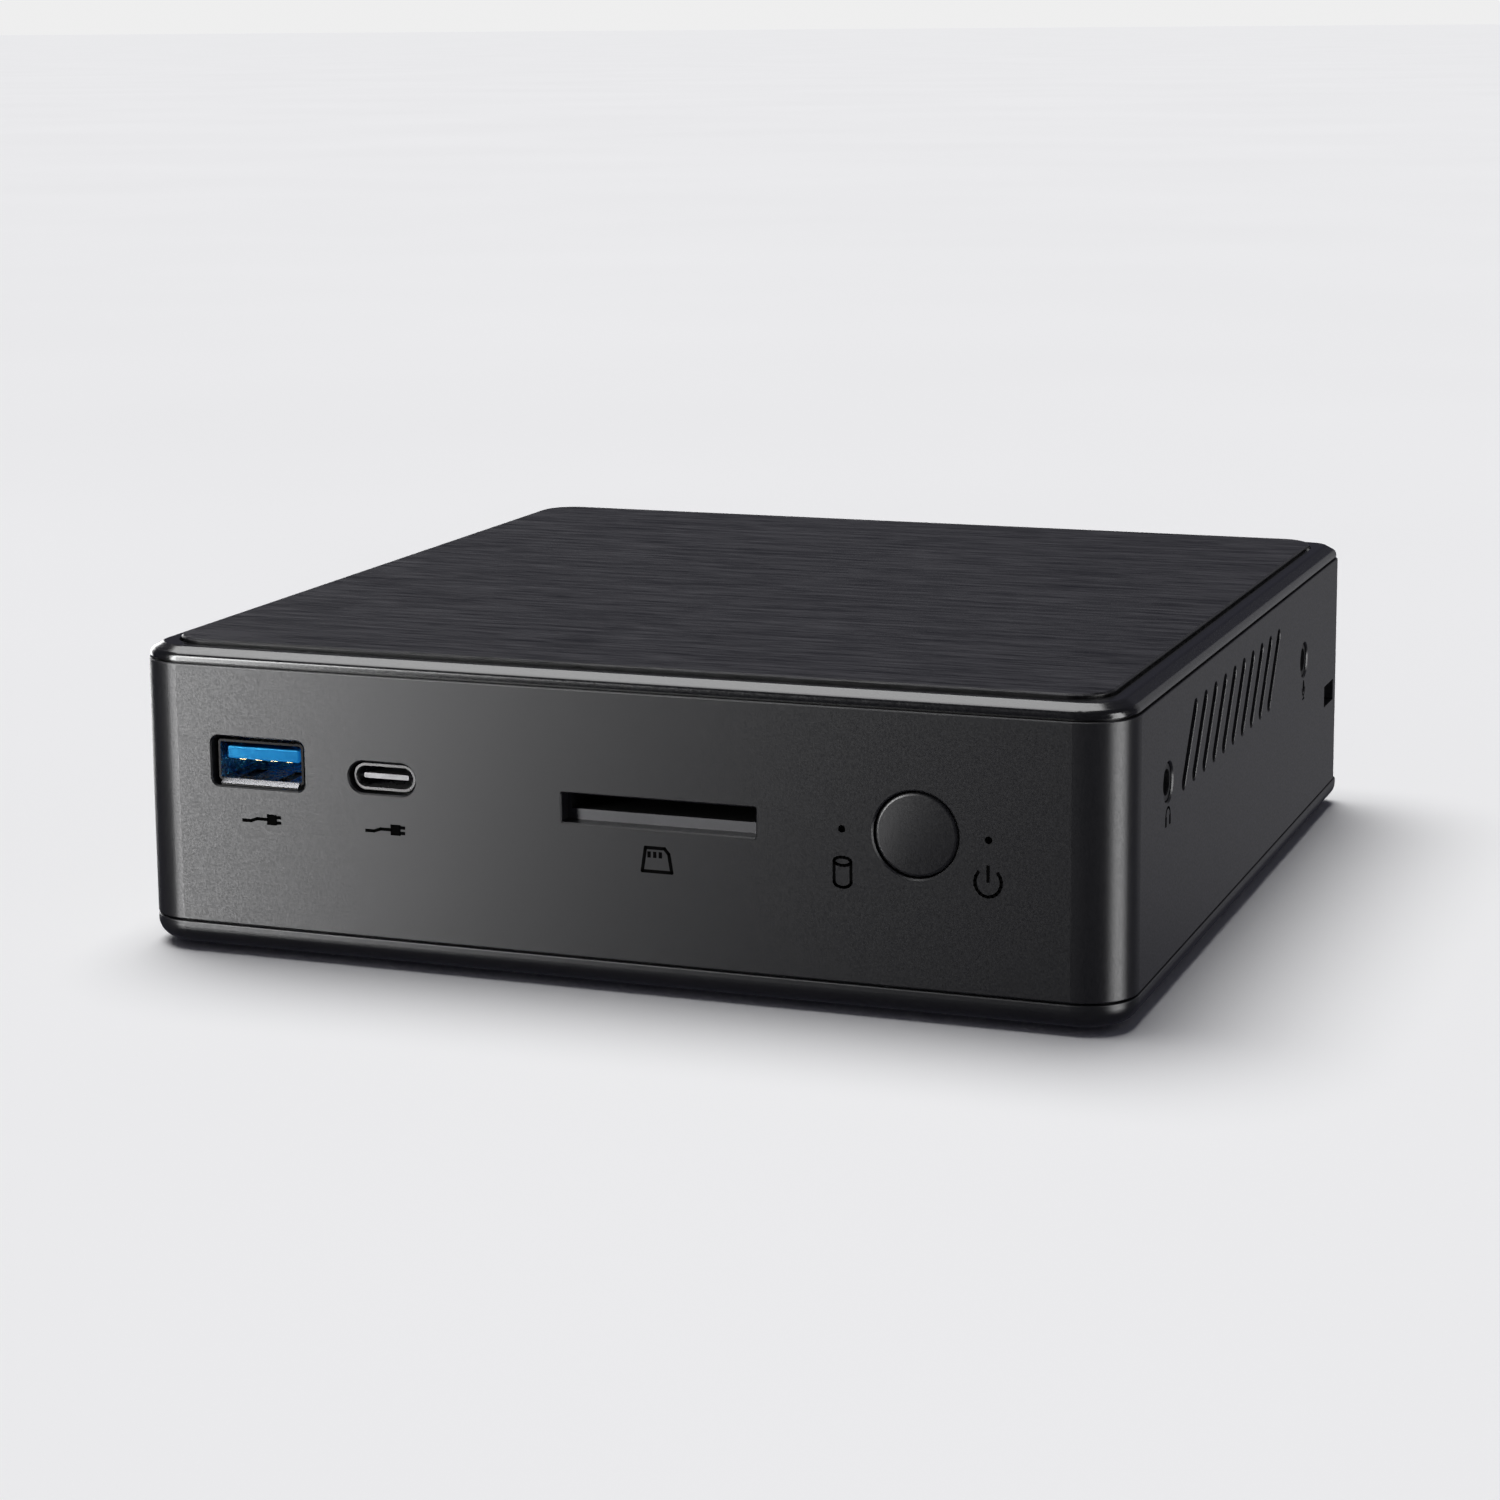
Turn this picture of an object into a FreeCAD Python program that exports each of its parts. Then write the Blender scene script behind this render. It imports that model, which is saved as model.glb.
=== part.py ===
"""Compact desktop computer in a flat square case, modelled as the assembly of its real pieces.

Row frame: millimetres, +Z up, origin at the middle of the footprint, on the surface that the rubber feet
stand on. The front face looks along -Y, so +X is the right-hand side seen from the front.
"""
import FreeCAD, Part
import math
import os

V = FreeCAD.Vector

# ---- driving dimensions -------------------------------------------------------------------------
WIDTH = 142.0              # case, left to right
DEPTH = 142.0              # case, front to back
CASE_HEIGHT = 42.9         # case without its feet
FOOT_PROUD = 0.8           # how far the feet stand below the case
WALL = 2.3                 # side walls of the shell
FRONT_CORNER_R = 7.2
REAR_CORNER_R = 4.8
UPPER_SEAM = 0.35          # shadow gap between shell and lid
LOWER_SEAM = 0.22          # shadow gap between shell and bottom cover
SEAM_DEPTH = 1.0
EDGE_BREAK = 0.2           # chamfer round the openings

LID_THICK = 2.45           # visible height of the lid with its plate
TRAY_HEIGHT = 3.45         # visible height of the bottom cover
TRAY_FLOOR = 1.5
TRAY_FILLET = 2.7
TRAY_REAR_R = 3.0          # the bottom cover's rear corners are tighter than the shell's

HALF_W = WIDTH / 2
HALF_D = DEPTH / 2
CASE_Z = FOOT_PROUD                          # underside of the case
TRAY_TOP = CASE_Z + TRAY_HEIGHT
SHELL_Z0 = TRAY_TOP + LOWER_SEAM
LID_TOP = CASE_Z + CASE_HEIGHT
LID_Z0 = LID_TOP - LID_THICK
SHELL_Z1 = LID_Z0 - UPPER_SEAM

BOARD_T = 1.6
BOARD_TOP = CASE_Z + 22.7
BOARD_Z0 = BOARD_TOP - BOARD_T
PORT_FRONT_Y = -(HALF_D - WALL)              # inside of the front wall
USB_A_MOUTH_Y = -HALF_D + 0.4                # the two USB shells reach into their openings
USB_C_MOUTH_Y = -HALF_D + 0.9

# front face, left to right: x of the middle, height above the table, opening size
USB_A = dict(x=-51.5, z=CASE_Z + 26.8, w=14.3, h=7.0, corner=1.1)
USB_C = dict(x=-32.55, z=CASE_Z + 26.0, w=10.0, h=4.4)
CARD = dict(x=7.7, z=CASE_Z + 24.0, w=27.6, h=4.0)
BUTTON = dict(x=43.3, z=CASE_Z + 24.0, hole_r=5.8, cap_r=5.6, dome_r=60.0)
LED_X = (33.3, 53.0)
LED_Z = CASE_Z + 24.1
LED_HOLE_R = 0.5

# right side
JACK_Y = (-49.2, 40.2)
JACK_Z = CASE_Z + 28.2
JACK_HOLE_R = 2.7
JACK_NOSE_R = 2.5
JACK_BORE_R = 1.8
JACK_NOSE_X = HALF_W - 0.3                   # the sockets' noses end just inside the wall's face
LOCK = dict(y=61.0, z=CASE_Z + 19.0, w=7.4, h=3.4)

# side vents: slanted slots, the same on both sides
SLOT_COUNT = 10
SLOT_PITCH = 6.06
SLOT_FIRST_Y = -37.1                         # middle of the slot nearest the front
SLOT_MID_Z = CASE_Z + 30.8
SLOT_RISE = 9.1                              # height between the ends' centres
SLOT_LEAN = 6.4                              # how far the top leans towards the back
SLOT_WIDTH = 2.2
SLOT_EDGE_BREAK = 0.08

# fasteners
CORNER_SCREW = 62.5                          # x and y of the four bottom screws
BOARD_SCREWS = [(-62.5, -30.0), (62.5, -28.0), (-62.5, 30.0), (62.5, 28.0)]
VESA = 75.0                                  # square of the four mounting holes underneath
VESA_HOLE_R = 1.65                           # M4 thread, drilled size
FOOT_XY = 50.0
FOOT_R = 7.0

# lid: a bevelled rim round a recess that holds the inlay plate
LID_INSET = 0.25
RIM_TOP = LID_TOP - 0.65                     # the inlay plate stands this much above the rim
BEVEL_H = 1.0
BEVEL_INSET = 2.1
BEVEL_FILLET = 0.9
RIM_FILLET = 1.1
PLATE_INSET = 3.9
PLATE_CORNER_R = 5.2
PLATE_EDGE_T = 0.35                          # thin edge of the plate over a recessed, shaded core
PLATE_CORE_INSET = 0.6
PLATE_CHAMFER = 0.22
RECESS_DEPTH = 0.6
RECESS_GAP = 0.35
SKIRT_INSET = WALL + 0.15
SKIRT_T = 1.2
SKIRT_DROP = 2.6

# shell posts, air slots underneath
CORNER_POST_TOP = CASE_Z + 14.5
AIR_ROWS = 2
AIR_COLS = 13
AIR_PITCH_X = 4.6
AIR_PITCH_Y = 14.5
AIR_Y0 = -33.0

# front sockets, behind their openings
USB_A_LIP = dict(drop=0.6, depth=0.6, t=0.28)   # the A socket's lower edge turns down at its mouth
CARD_BODY_W = 29.0
CARD_DEPTH = 27.0
CARD_FLOOR_T = 0.75
CARD_ROOF_T = 0.25
CARD_ROOF_Z = CARD["z"] + 1.7
SLIDER_TRAVEL = 3.0

# power key, from the cap back to the switch
CAP_FRONT_Y = -HALF_D
CAP_FLANGE_Y = -HALF_D + WALL + 0.15
STEM_END_Y = CAP_FLANGE_Y + 1.6
STEM_GAP = 0.02
SWITCH_BODY_Y = STEM_END_Y + STEM_GAP + 0.9

# rear window and its grille
REAR_WINDOW = dict(half_w=56.5, z0=CASE_Z + 8.0, z1=CASE_Z + 36.8)

# rear connectors that stand on the board, by their shells' middle and size
REAR_PORTS = [
    dict(name="lan", x=31.0, w=16.0, h=13.4, z=BOARD_TOP + 6.8),
    dict(name="hdmi", x=10.0, w=15.0, h=5.6, z=BOARD_TOP + 3.0),
    dict(name="display", x=-6.5, w=9.4, h=6.2, z=BOARD_TOP + 3.3),
    dict(name="usb", x=-22.5, w=13.2, h=13.6, z=BOARD_TOP + 6.9),
]
USB_STACK_DZ = (-3.55, 3.55)
DC = dict(x=-44.0, z=BOARD_TOP + 5.6, r=4.0)
ANTENNA_X = (-50.5, 50.5)
ANTENNA_Z = CASE_Z + 15.0
GRILLE_COLS = 20
GRILLE_X0 = -36.0
REAR_MOUTH_Y = HALF_D - WALL + 0.6           # rear connectors stand a little proud of the panel
LAN_CAVITY = dict(w=11.8, h=8.2, depth=13.0)

# cooling
FAN = dict(x=-28.0, y=-12.0, housing=58.0, rotor_r=22.0, z0=BOARD_TOP + 3.0, h=11.0)
COLD_PLATE_Z = BOARD_TOP + 2.0
PIPE_Z = COLD_PLATE_Z + 2.5
PIPE_T = 2.6
PIPE_RUNS = [dict(x=20.0, y=28.0, bend=8.0), dict(x=32.0, y=36.0, bend=12.0)]
FIN_Y = (18.0, 39.0)
FIN_X = (-50.0, -6.0)

# memory and drive
DIMM_X = 20.0
DIMM_LEVELS = (BOARD_Z0 - 3.6, BOARD_Z0 - 7.4)
DRIVE = dict(x=8.0, y=16.0, z0=CASE_Z + 5.1, w=100.0, d=69.8, h=7.0)


# ---- shapes that are used again and again -------------------------------------------------------
def box(x0, x1, y0, y1, z0, z1):
    """Block between two corners."""
    return Part.makeBox(x1 - x0, y1 - y0, z1 - z0, V(x0, y0, z0))


def block(x, y, z0, w, d, h):
    """Block centred on x, y that stands on z0."""
    return Part.makeBox(w, d, h, V(x - w / 2, y - d / 2, z0))


def rod(r, length, at, along):
    """Solid cylinder from a point along a direction."""
    return Part.makeCylinder(r, length, at, along)


def fuse(shapes):
    """One solid from shapes that touch."""
    whole = shapes[0].fuse(shapes[1:]) if len(shapes) > 1 else shapes[0]
    return whole.removeSplitter()


def group(shapes):
    """Several separate solids as one shape."""
    return Part.makeCompound(shapes)


def outline(inset, z, front_r=FRONT_CORNER_R, rear_r=REAR_CORNER_R):
    """Outline of the case at one height, moved inwards by inset, with its four rounded corners."""
    x1, y1 = HALF_W - inset, HALF_D - inset
    front = max(front_r - inset, 0.6)
    rear = max(rear_r - inset, 0.6)
    corners = [(-x1, -y1, front, 180), (x1, -y1, front, 270), (x1, y1, rear, 0), (-x1, y1, rear, 90)]
    arcs = []
    for x, y, r, start in corners:
        cx, cy = x - math.copysign(r, x), y - math.copysign(r, y)
        angles = [math.radians(start + a) for a in (0, 45, 90)]
        arcs.append([V(cx + r * math.cos(a), cy + r * math.sin(a), z) for a in angles])
    edges = []
    for i, arc in enumerate(arcs):
        edges.append(Part.Arc(*arc).toShape())
        edges.append(Part.LineSegment(arc[2], arcs[(i + 1) % 4][0]).toShape())
    return Part.Wire(edges)


def rounded_prism(inset, z0, z1, front_r=FRONT_CORNER_R, rear_r=REAR_CORNER_R):
    """Upright prism on the case's outline."""
    return Part.Face(outline(inset, z0, front_r, rear_r)).extrude(V(0, 0, z1 - z0))


def rounded_rectangle(w, h, r, x, y, z):
    """Upright rectangle w wide and h high round x, z, in the plane at y, with rounded corners."""
    r = min(r, h / 2)
    half_w, half_h = w / 2 - r, h / 2 - r
    edges = []
    corners = [(half_w, half_h, 0), (-half_w, half_h, 90), (-half_w, -half_h, 180), (half_w, -half_h, 270)]
    arcs = []
    for dx, dz, start in corners:
        angles = [math.radians(start + a) for a in (0, 45, 90)]
        arcs.append([V(x + dx + r * math.cos(a), y, z + dz + r * math.sin(a)) for a in angles])
    for i, arc in enumerate(arcs):
        edges.append(Part.Arc(*arc).toShape())
        following = arcs[(i + 1) % 4][0]
        if arc[2].distanceToPoint(following) > 1e-6:
            edges.append(Part.LineSegment(arc[2], following).toShape())
    return Part.Wire(edges)


def rounded_bar(w, h, r, y0, y1, x=0.0, z=0.0):
    """Bar along Y whose section is a rounded rectangle."""
    return Part.Face(rounded_rectangle(w, h, r, x, y0, z)).extrude(V(0, y1 - y0, 0))


def flare(w, h, r, y_neck, y_mouth, spread, x, z):
    """Funnel along Y from a rounded rectangle at the neck to one wider by spread all round at the mouth."""
    neck = rounded_rectangle(w, h, r, x, y_neck, z)
    mouth = rounded_rectangle(w + 2 * spread, h + 2 * spread, r + spread, x, y_mouth, z)
    return Part.makeLoft([neck, mouth], True, True)


def four(x, y):
    """The four points at plus and minus x and y."""
    return [(sx * x, sy * y) for sx in (-1, 1) for sy in (-1, 1)]


def plate(x, y, z0, w, d, h, r):
    """Flat plate with rounded upright corners."""
    body = block(x, y, z0, w, d, h)
    upright = [e for e in body.Edges if abs(e.tangentAt(e.FirstParameter).z) > 0.9]
    return body.makeFillet(r, upright)


def edges_at_z(shape, z, least_length=0.0):
    """Edges that lie flat at one height."""
    return [e for e in shape.Edges
            if abs(e.BoundBox.ZMin - z) < 1e-4 and abs(e.BoundBox.ZMax - z) < 1e-4 and e.Length > least_length]


def edges_at_y(shape, y):
    """Edges that lie in one upright plane parallel to the front."""
    return [e for e in shape.Edges if abs(e.BoundBox.YMin - y) < 1e-4 and abs(e.BoundBox.YMax - y) < 1e-4]


def slot_outline(x, y, r):
    """Outline of one vent slot in the plane at x: a leaning obround."""
    low = V(x, y - SLOT_LEAN / 2, SLOT_MID_Z - SLOT_RISE / 2)
    high = V(x, y + SLOT_LEAN / 2, SLOT_MID_Z + SLOT_RISE / 2)
    lean = high.sub(low).normalize()
    across = V(0, lean.z, -lean.y).multiply(r)
    side = [low.add(across), high.add(across), high.sub(across), low.sub(across)]
    return Part.Wire([
        Part.LineSegment(side[0], side[1]).toShape(),
        Part.Arc(side[1], high.add(V(lean).multiply(r)), side[2]).toShape(),
        Part.LineSegment(side[2], side[3]).toShape(),
        Part.Arc(side[3], low.sub(V(lean).multiply(r)), side[0]).toShape(),
    ])


def slanted_slot(y, sign):
    """Cutter for one vent slot through the wall on the side with that sign, with its outer edge broken."""
    r = SLOT_WIDTH / 2
    x_in, x_out = sign * (HALF_W - WALL - 0.5), sign * (HALF_W + 1)
    slot = Part.Face(slot_outline(x_in, y, r)).extrude(V(x_out - x_in, 0, 0))
    neck = slot_outline(sign * (HALF_W - SLOT_EDGE_BREAK), y, r)
    mouth = slot_outline(sign * (HALF_W + 0.1), y, r + SLOT_EDGE_BREAK + 0.1)
    return slot.fuse(Part.makeLoft([neck, mouth], True, True))


# ---- casing -------------------------------------------------------------------------------------
def chassis_shell():
    """The upright ring of the case: front face and sides in one moulding, open above and below."""
    shell = rounded_prism(0, SHELL_Z0, SHELL_Z1)
    # the soft edges beside both seams
    shell = shell.makeFillet(0.2, edges_at_z(shell, SHELL_Z0) + edges_at_z(shell, SHELL_Z1))
    locating = rounded_prism(SEAM_DEPTH, TRAY_TOP, LID_Z0)
    shell = shell.fuse(locating)
    shell = shell.cut(rounded_prism(WALL, TRAY_TOP - 1, LID_Z0 + 1))
    inside = rounded_prism(WALL - 0.2, SHELL_Z0, SHELL_Z1)
    posts = []
    for x, y in four(65.5, 65.5):
        corner = block(x, y, SHELL_Z0, 13.0, 13.0, CORNER_POST_TOP - SHELL_Z0)
        posts.append(corner.common(inside))
    for x, y in BOARD_SCREWS:
        ledge = block(math.copysign(65.0, x), y, BOARD_Z0 - 5.0, 11.0, 8.0, 5.0)
        posts.append(ledge.common(inside))
    shell = fuse([shell] + posts)
    holes = [rod(1.25, 9.0, V(x, y, SHELL_Z0 - 1), V(0, 0, 1)) for x, y in four(CORNER_SCREW, CORNER_SCREW)]
    holes += [rod(1.05, 4.5, V(x, y, BOARD_Z0 - 4.5), V(0, 0, 1)) for x, y in BOARD_SCREWS]
    return shell.cut(group(holes)).cut(group(shell_openings()))


def front_opening(w, h, r, x, z):
    """Cutter for a rounded rectangle through the front wall, with its edge broken on the outside."""
    bar = rounded_bar(w, h, r, -HALF_D - 1, -HALF_D + WALL + 0.5, x, z)
    edge = flare(w, h, r, -HALF_D + EDGE_BREAK, -HALF_D - 0.1, EDGE_BREAK + 0.1, x, z)
    return bar.fuse(edge)


def round_opening(r, surface, inwards):
    """Cutter for a round hole through a wall, with its edge broken on the outside."""
    start = surface.sub(inwards)
    hole = rod(r, WALL + 1.5, start, inwards)
    outside = surface.sub(V(inwards).multiply(0.1))
    return hole.fuse(Part.makeCone(r + EDGE_BREAK + 0.1, r, EDGE_BREAK + 0.1, outside, inwards))


def shell_openings():
    """Everything that is cut through the shell's walls."""
    cuts = [
        front_opening(USB_A["w"], USB_A["h"], USB_A["corner"], USB_A["x"], USB_A["z"]),
        front_opening(USB_C["w"], USB_C["h"], USB_C["h"], USB_C["x"], USB_C["z"]),
        front_opening(CARD["w"], CARD["h"], 0.25, CARD["x"], CARD["z"]),
        round_opening(BUTTON["hole_r"], V(BUTTON["x"], -HALF_D, BUTTON["z"]), V(0, 1, 0)),
    ]
    cuts += [rod(LED_HOLE_R, WALL + 1.5, V(x, -HALF_D - 1, LED_Z), V(0, 1, 0)) for x in LED_X]
    cuts += [round_opening(JACK_HOLE_R, V(HALF_W, y, JACK_Z), V(-1, 0, 0)) for y in JACK_Y]
    side0, side1 = HALF_W - WALL - 0.5, HALF_W + 1
    half_w, half_h = LOCK["w"] / 2, LOCK["h"] / 2
    y, z = LOCK["y"], LOCK["z"]
    cuts.append(box(side0, side1, y - half_w, y + half_w, z - half_h, z + half_h))
    for i in range(SLOT_COUNT):
        y = SLOT_FIRST_Y + i * SLOT_PITCH
        cuts += [slanted_slot(y, 1), slanted_slot(y, -1)]
    w = REAR_WINDOW
    window = box(-w["half_w"], w["half_w"], HALF_D - WALL - 0.5, HALF_D + 1, w["z0"], w["z1"])
    along = [e for e in window.Edges if abs(e.tangentAt(e.FirstParameter).y) > 0.9]
    cuts.append(window.makeFillet(1.5, along))
    return cuts


def inlay_prism(inset, z0, z1):
    """Upright prism in the lid's middle, with the inlay plate's rounder corners."""
    corner_r = PLATE_INSET + PLATE_CORNER_R
    return rounded_prism(inset, z0, z1, corner_r, corner_r)


def top_cover():
    """Lid moulding: a bevelled rim round a shallow recess, with a skirt that drops inside the shell."""
    bevel_z = RIM_TOP - BEVEL_H
    land = rounded_prism(LID_INSET, LID_Z0, bevel_z)
    bevel = Part.makeLoft([outline(LID_INSET, bevel_z), outline(BEVEL_INSET, RIM_TOP)], True, True)
    lid = fuse([land, bevel])
    lid = lid.makeFillet(BEVEL_FILLET, edges_at_z(lid, bevel_z))
    lid = lid.makeFillet(RIM_FILLET, edges_at_z(lid, RIM_TOP))
    lid = lid.cut(inlay_prism(PLATE_INSET - RECESS_GAP, RIM_TOP - RECESS_DEPTH, LID_TOP + 1))
    skirt = rounded_prism(SKIRT_INSET, LID_Z0 - SKIRT_DROP, LID_Z0)
    skirt = skirt.cut(rounded_prism(SKIRT_INSET + SKIRT_T, LID_Z0 - SKIRT_DROP - 1, LID_Z0 + 1))
    return fuse([lid, skirt])


def top_plate():
    """Brushed inlay plate that stands in the lid's recess: a thin bevelled edge over a recessed core."""
    edge = inlay_prism(PLATE_INSET, LID_TOP - PLATE_EDGE_T, LID_TOP)
    edge = edge.makeChamfer(PLATE_CHAMFER, edges_at_z(edge, LID_TOP))
    core = inlay_prism(PLATE_INSET + PLATE_CORE_INSET, RIM_TOP - RECESS_DEPTH, LID_TOP - PLATE_EDGE_T)
    return fuse([edge, core])


def bottom_cover():
    """Bottom cover: a shallow tray with a rolled lower edge, screw seats, feet seats and air slots."""
    tray = rounded_prism(0, CASE_Z, TRAY_TOP, rear_r=TRAY_REAR_R)
    tray = tray.makeFillet(TRAY_FILLET, edges_at_z(tray, CASE_Z))
    tray = tray.makeFillet(0.2, edges_at_z(tray, TRAY_TOP))
    tray = tray.cut(rounded_prism(WALL, CASE_Z + TRAY_FLOOR, TRAY_TOP + 1))
    bosses = [rod(4.2, 4.1, V(x, y, CASE_Z + 0.5), V(0, 0, 1)) for x, y in four(VESA / 2, VESA / 2)]
    for x, y in four(65.5, 65.5):
        seat = block(x, y, CASE_Z + 0.9, 13.0, 13.0, TRAY_TOP - CASE_Z - 0.9)
        bosses.append(seat.common(rounded_prism(WALL - 0.2, CASE_Z, TRAY_TOP)))
    tray = fuse([tray] + bosses)
    cuts = []
    for x, y in four(CORNER_SCREW, CORNER_SCREW):
        cuts.append(rod(1.6, 6.0, V(x, y, CASE_Z - 1), V(0, 0, 1)))
        cuts.append(rod(3.1, 1.8 + 1, V(x, y, CASE_Z - 1), V(0, 0, 1)))
    cuts += [rod(VESA_HOLE_R, 4.0 + 1, V(x, y, CASE_Z - 1), V(0, 0, 1)) for x, y in four(VESA / 2, VESA / 2)]
    cuts += [rod(FOOT_R + 0.15, 0.7 + 1, V(x, y, CASE_Z - 1), V(0, 0, 1)) for x, y in four(FOOT_XY, FOOT_XY)]
    for row in range(AIR_ROWS):
        for col in range(AIR_COLS):
            x = (col - (AIR_COLS - 1) / 2) * AIR_PITCH_X
            y = AIR_Y0 + row * AIR_PITCH_Y
            cuts.append(plate(x, y, CASE_Z - 1, 2.0, 11.0, TRAY_FLOOR + 2, 0.99))
    return tray.cut(group(cuts))


def rear_panel():
    """Sheet-metal connector panel behind the window in the rear wall, with an exhaust grille above."""
    w = REAR_WINDOW
    y0 = HALF_D - WALL - 1.0
    panel = box(-58.5, 58.5, y0, HALF_D - WALL, w["z0"] - 2.0, w["z1"] + 0.8)
    cuts = []
    for port in REAR_PORTS:
        cuts.append(box(port["x"] - port["w"] / 2 - 0.25, port["x"] + port["w"] / 2 + 0.25, y0 - 1, HALF_D,
                        port["z"] - port["h"] / 2 - 0.25, port["z"] + port["h"] / 2 + 0.25))
    cuts.append(rod(DC["r"] + 0.4, 4.0, V(DC["x"], y0 - 1, DC["z"]), V(0, 1, 0)))
    for x in ANTENNA_X:
        cuts.append(rod(3.3, 4.0, V(x, y0 - 1, ANTENNA_Z), V(0, 1, 0)))
    for row in range(2):
        for col in range(GRILLE_COLS):
            x = GRILLE_X0 + col * 3.6 + row * 1.8
            z = CASE_Z + 13.2 + row * 4.0
            cuts.append(rod(1.25, 4.0, V(x, y0 - 1, z), V(0, 1, 0)))
    return panel.cut(group(cuts))


def vent_screens():
    """Dust screens glued inside both side walls behind the vent slots."""
    y0 = SLOT_FIRST_Y - 8.0
    y1 = SLOT_FIRST_Y + (SLOT_COUNT - 1) * SLOT_PITCH + 8.0
    x0 = HALF_W - WALL - 0.4
    screen = box(x0, HALF_W - WALL, y0, y1, SLOT_MID_Z - 6.6, SLOT_MID_Z + 6.0)
    return group([screen, screen.mirror(V(0, 0, 0), V(1, 0, 0))])


def lock_anchor():
    """Steel plate behind the lock opening, with the narrower slot that a cable lock grips."""
    half_w, half_h = 3.5, 1.5
    x1 = HALF_W - WALL
    anchor = box(x1 - 1.2, x1, LOCK["y"] - 5.0, LOCK["y"] + 5.0, LOCK["z"] - 4.2, LOCK["z"] + 4.2)
    return anchor.cut(box(x1 - 3, x1 + 1, LOCK["y"] - half_w, LOCK["y"] + half_w,
                          LOCK["z"] - half_h, LOCK["z"] + half_h))


# ---- mainboard and what stands on it ------------------------------------------------------------
def mainboard():
    """Main circuit board on four ledges of the shell, notched at the corners and behind the power key."""
    board = box(-67.0, 67.0, -68.0, 66.8, BOARD_Z0, BOARD_TOP)
    cuts = [rod(1.4, 4.0, V(x, y, BOARD_Z0 - 1), V(0, 0, 1)) for x, y in BOARD_SCREWS]
    for sx in (-1, 1):
        cuts.append(block(sx * 67.0, -68.0, BOARD_Z0 - 1, 12.0, 12.0, 4.0))
        cuts.append(block(sx * 67.0, 66.8, BOARD_Z0 - 1, 12.0, 20.0, 4.0))
    cuts.append(block(BUTTON["x"], -68.0, BOARD_Z0 - 1, 15.0, 3.4, 4.0))
    return board.cut(group(cuts))


def cpu_package():
    """Processor: a green carrier with a bare die."""
    carrier = block(28.0, -6.0, BOARD_TOP, 32.0, 26.0, 1.2)
    die = block(28.0, -6.0, BOARD_TOP + 1.2, 11.0, 9.0, 0.8)
    return fuse([carrier, die])


def cold_plate():
    """Copper block pressed on the processor, with two grooves that hold the heat pipes."""
    body = block(28.0, -6.0, COLD_PLATE_Z, 38.0, 32.0, 2.5)
    ears = [block(28.0 + dx, -6.0 + dy, COLD_PLATE_Z, 6.0, 5.0, 1.2) for dx, dy in four(21.5, 13.0)]
    return fuse([body] + ears)


def bent_strip(x, y_start, y_run, x_end, bend, width, z0, z1):
    """Flat strip that runs along +Y at x and then turns towards -X at y_run."""
    h = width / 2
    cx, cy = x - bend, y_run - bend
    out, inn = (bend + h) * math.sqrt(0.5), (bend - h) * math.sqrt(0.5)
    edges = [
        Part.LineSegment(V(x - h, y_start, z0), V(x + h, y_start, z0)).toShape(),
        Part.LineSegment(V(x + h, y_start, z0), V(x + h, cy, z0)).toShape(),
        Part.Arc(V(x + h, cy, z0), V(cx + out, cy + out, z0), V(cx, y_run + h, z0)).toShape(),
        Part.LineSegment(V(cx, y_run + h, z0), V(x_end, y_run + h, z0)).toShape(),
        Part.LineSegment(V(x_end, y_run + h, z0), V(x_end, y_run - h, z0)).toShape(),
        Part.LineSegment(V(x_end, y_run - h, z0), V(cx, y_run - h, z0)).toShape(),
        Part.Arc(V(cx, y_run - h, z0), V(cx + inn, cy + inn, z0), V(x - h, cy, z0)).toShape(),
        Part.LineSegment(V(x - h, cy, z0), V(x - h, y_start, z0)).toShape(),
    ]
    return Part.Face(Part.Wire(edges)).extrude(V(0, 0, z1 - z0))


def heat_pipes():
    """Two flattened heat pipes from the cold plate round to the fin stack behind the blower."""
    pipes = []
    for run in PIPE_RUNS:
        pipe = bent_strip(run["x"], -20.0, run["y"], FIN_X[0] + 2.0, run["bend"], 6.0, PIPE_Z, PIPE_Z + PIPE_T)
        pipes.append(pipe.makeFillet(0.9, edges_at_z(pipe, PIPE_Z + PIPE_T)))
    return group(pipes)


def fin_stack():
    """Thin aluminium fins on a base strip that lies on the heat pipes, in the blower's outlet."""
    z0 = PIPE_Z + PIPE_T
    base = box(FIN_X[0], FIN_X[1], FIN_Y[0], FIN_Y[1], z0, z0 + 0.5)
    count = 23
    pitch = (FIN_X[1] - FIN_X[0] - 0.5) / (count - 1)
    fins = [box(FIN_X[0] + i * pitch, FIN_X[0] + i * pitch + 0.5, FIN_Y[0], FIN_Y[1], z0, z0 + 6.9)
            for i in range(count)]
    return fuse([base] + fins)


def fan_housing():
    """Blower housing on four posts: a shallow open-topped scroll with an outlet towards the fins."""
    f = FAN
    body = plate(f["x"], f["y"], f["z0"], f["housing"], f["housing"], f["h"], 8.0)
    body = body.cut(rod(f["rotor_r"] + 2.0, f["h"], V(f["x"], f["y"], f["z0"] + 1.0), V(0, 0, 1)))
    body = body.cut(box(f["x"] - 22.0, f["x"] + 22.0, f["y"] + 5.0, f["y"] + 40.0,
                        f["z0"] + 1.0, f["z0"] + f["h"] - 1.0))
    shaft = rod(1.0, 6.5, V(f["x"], f["y"], f["z0"]), V(0, 0, 1))
    posts = [rod(2.2, 3.0, V(f["x"] + dx, f["y"] + dy, BOARD_TOP), V(0, 0, 1)) for dx, dy in four(24.0, 24.0)]
    return fuse([body, shaft] + posts)


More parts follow.
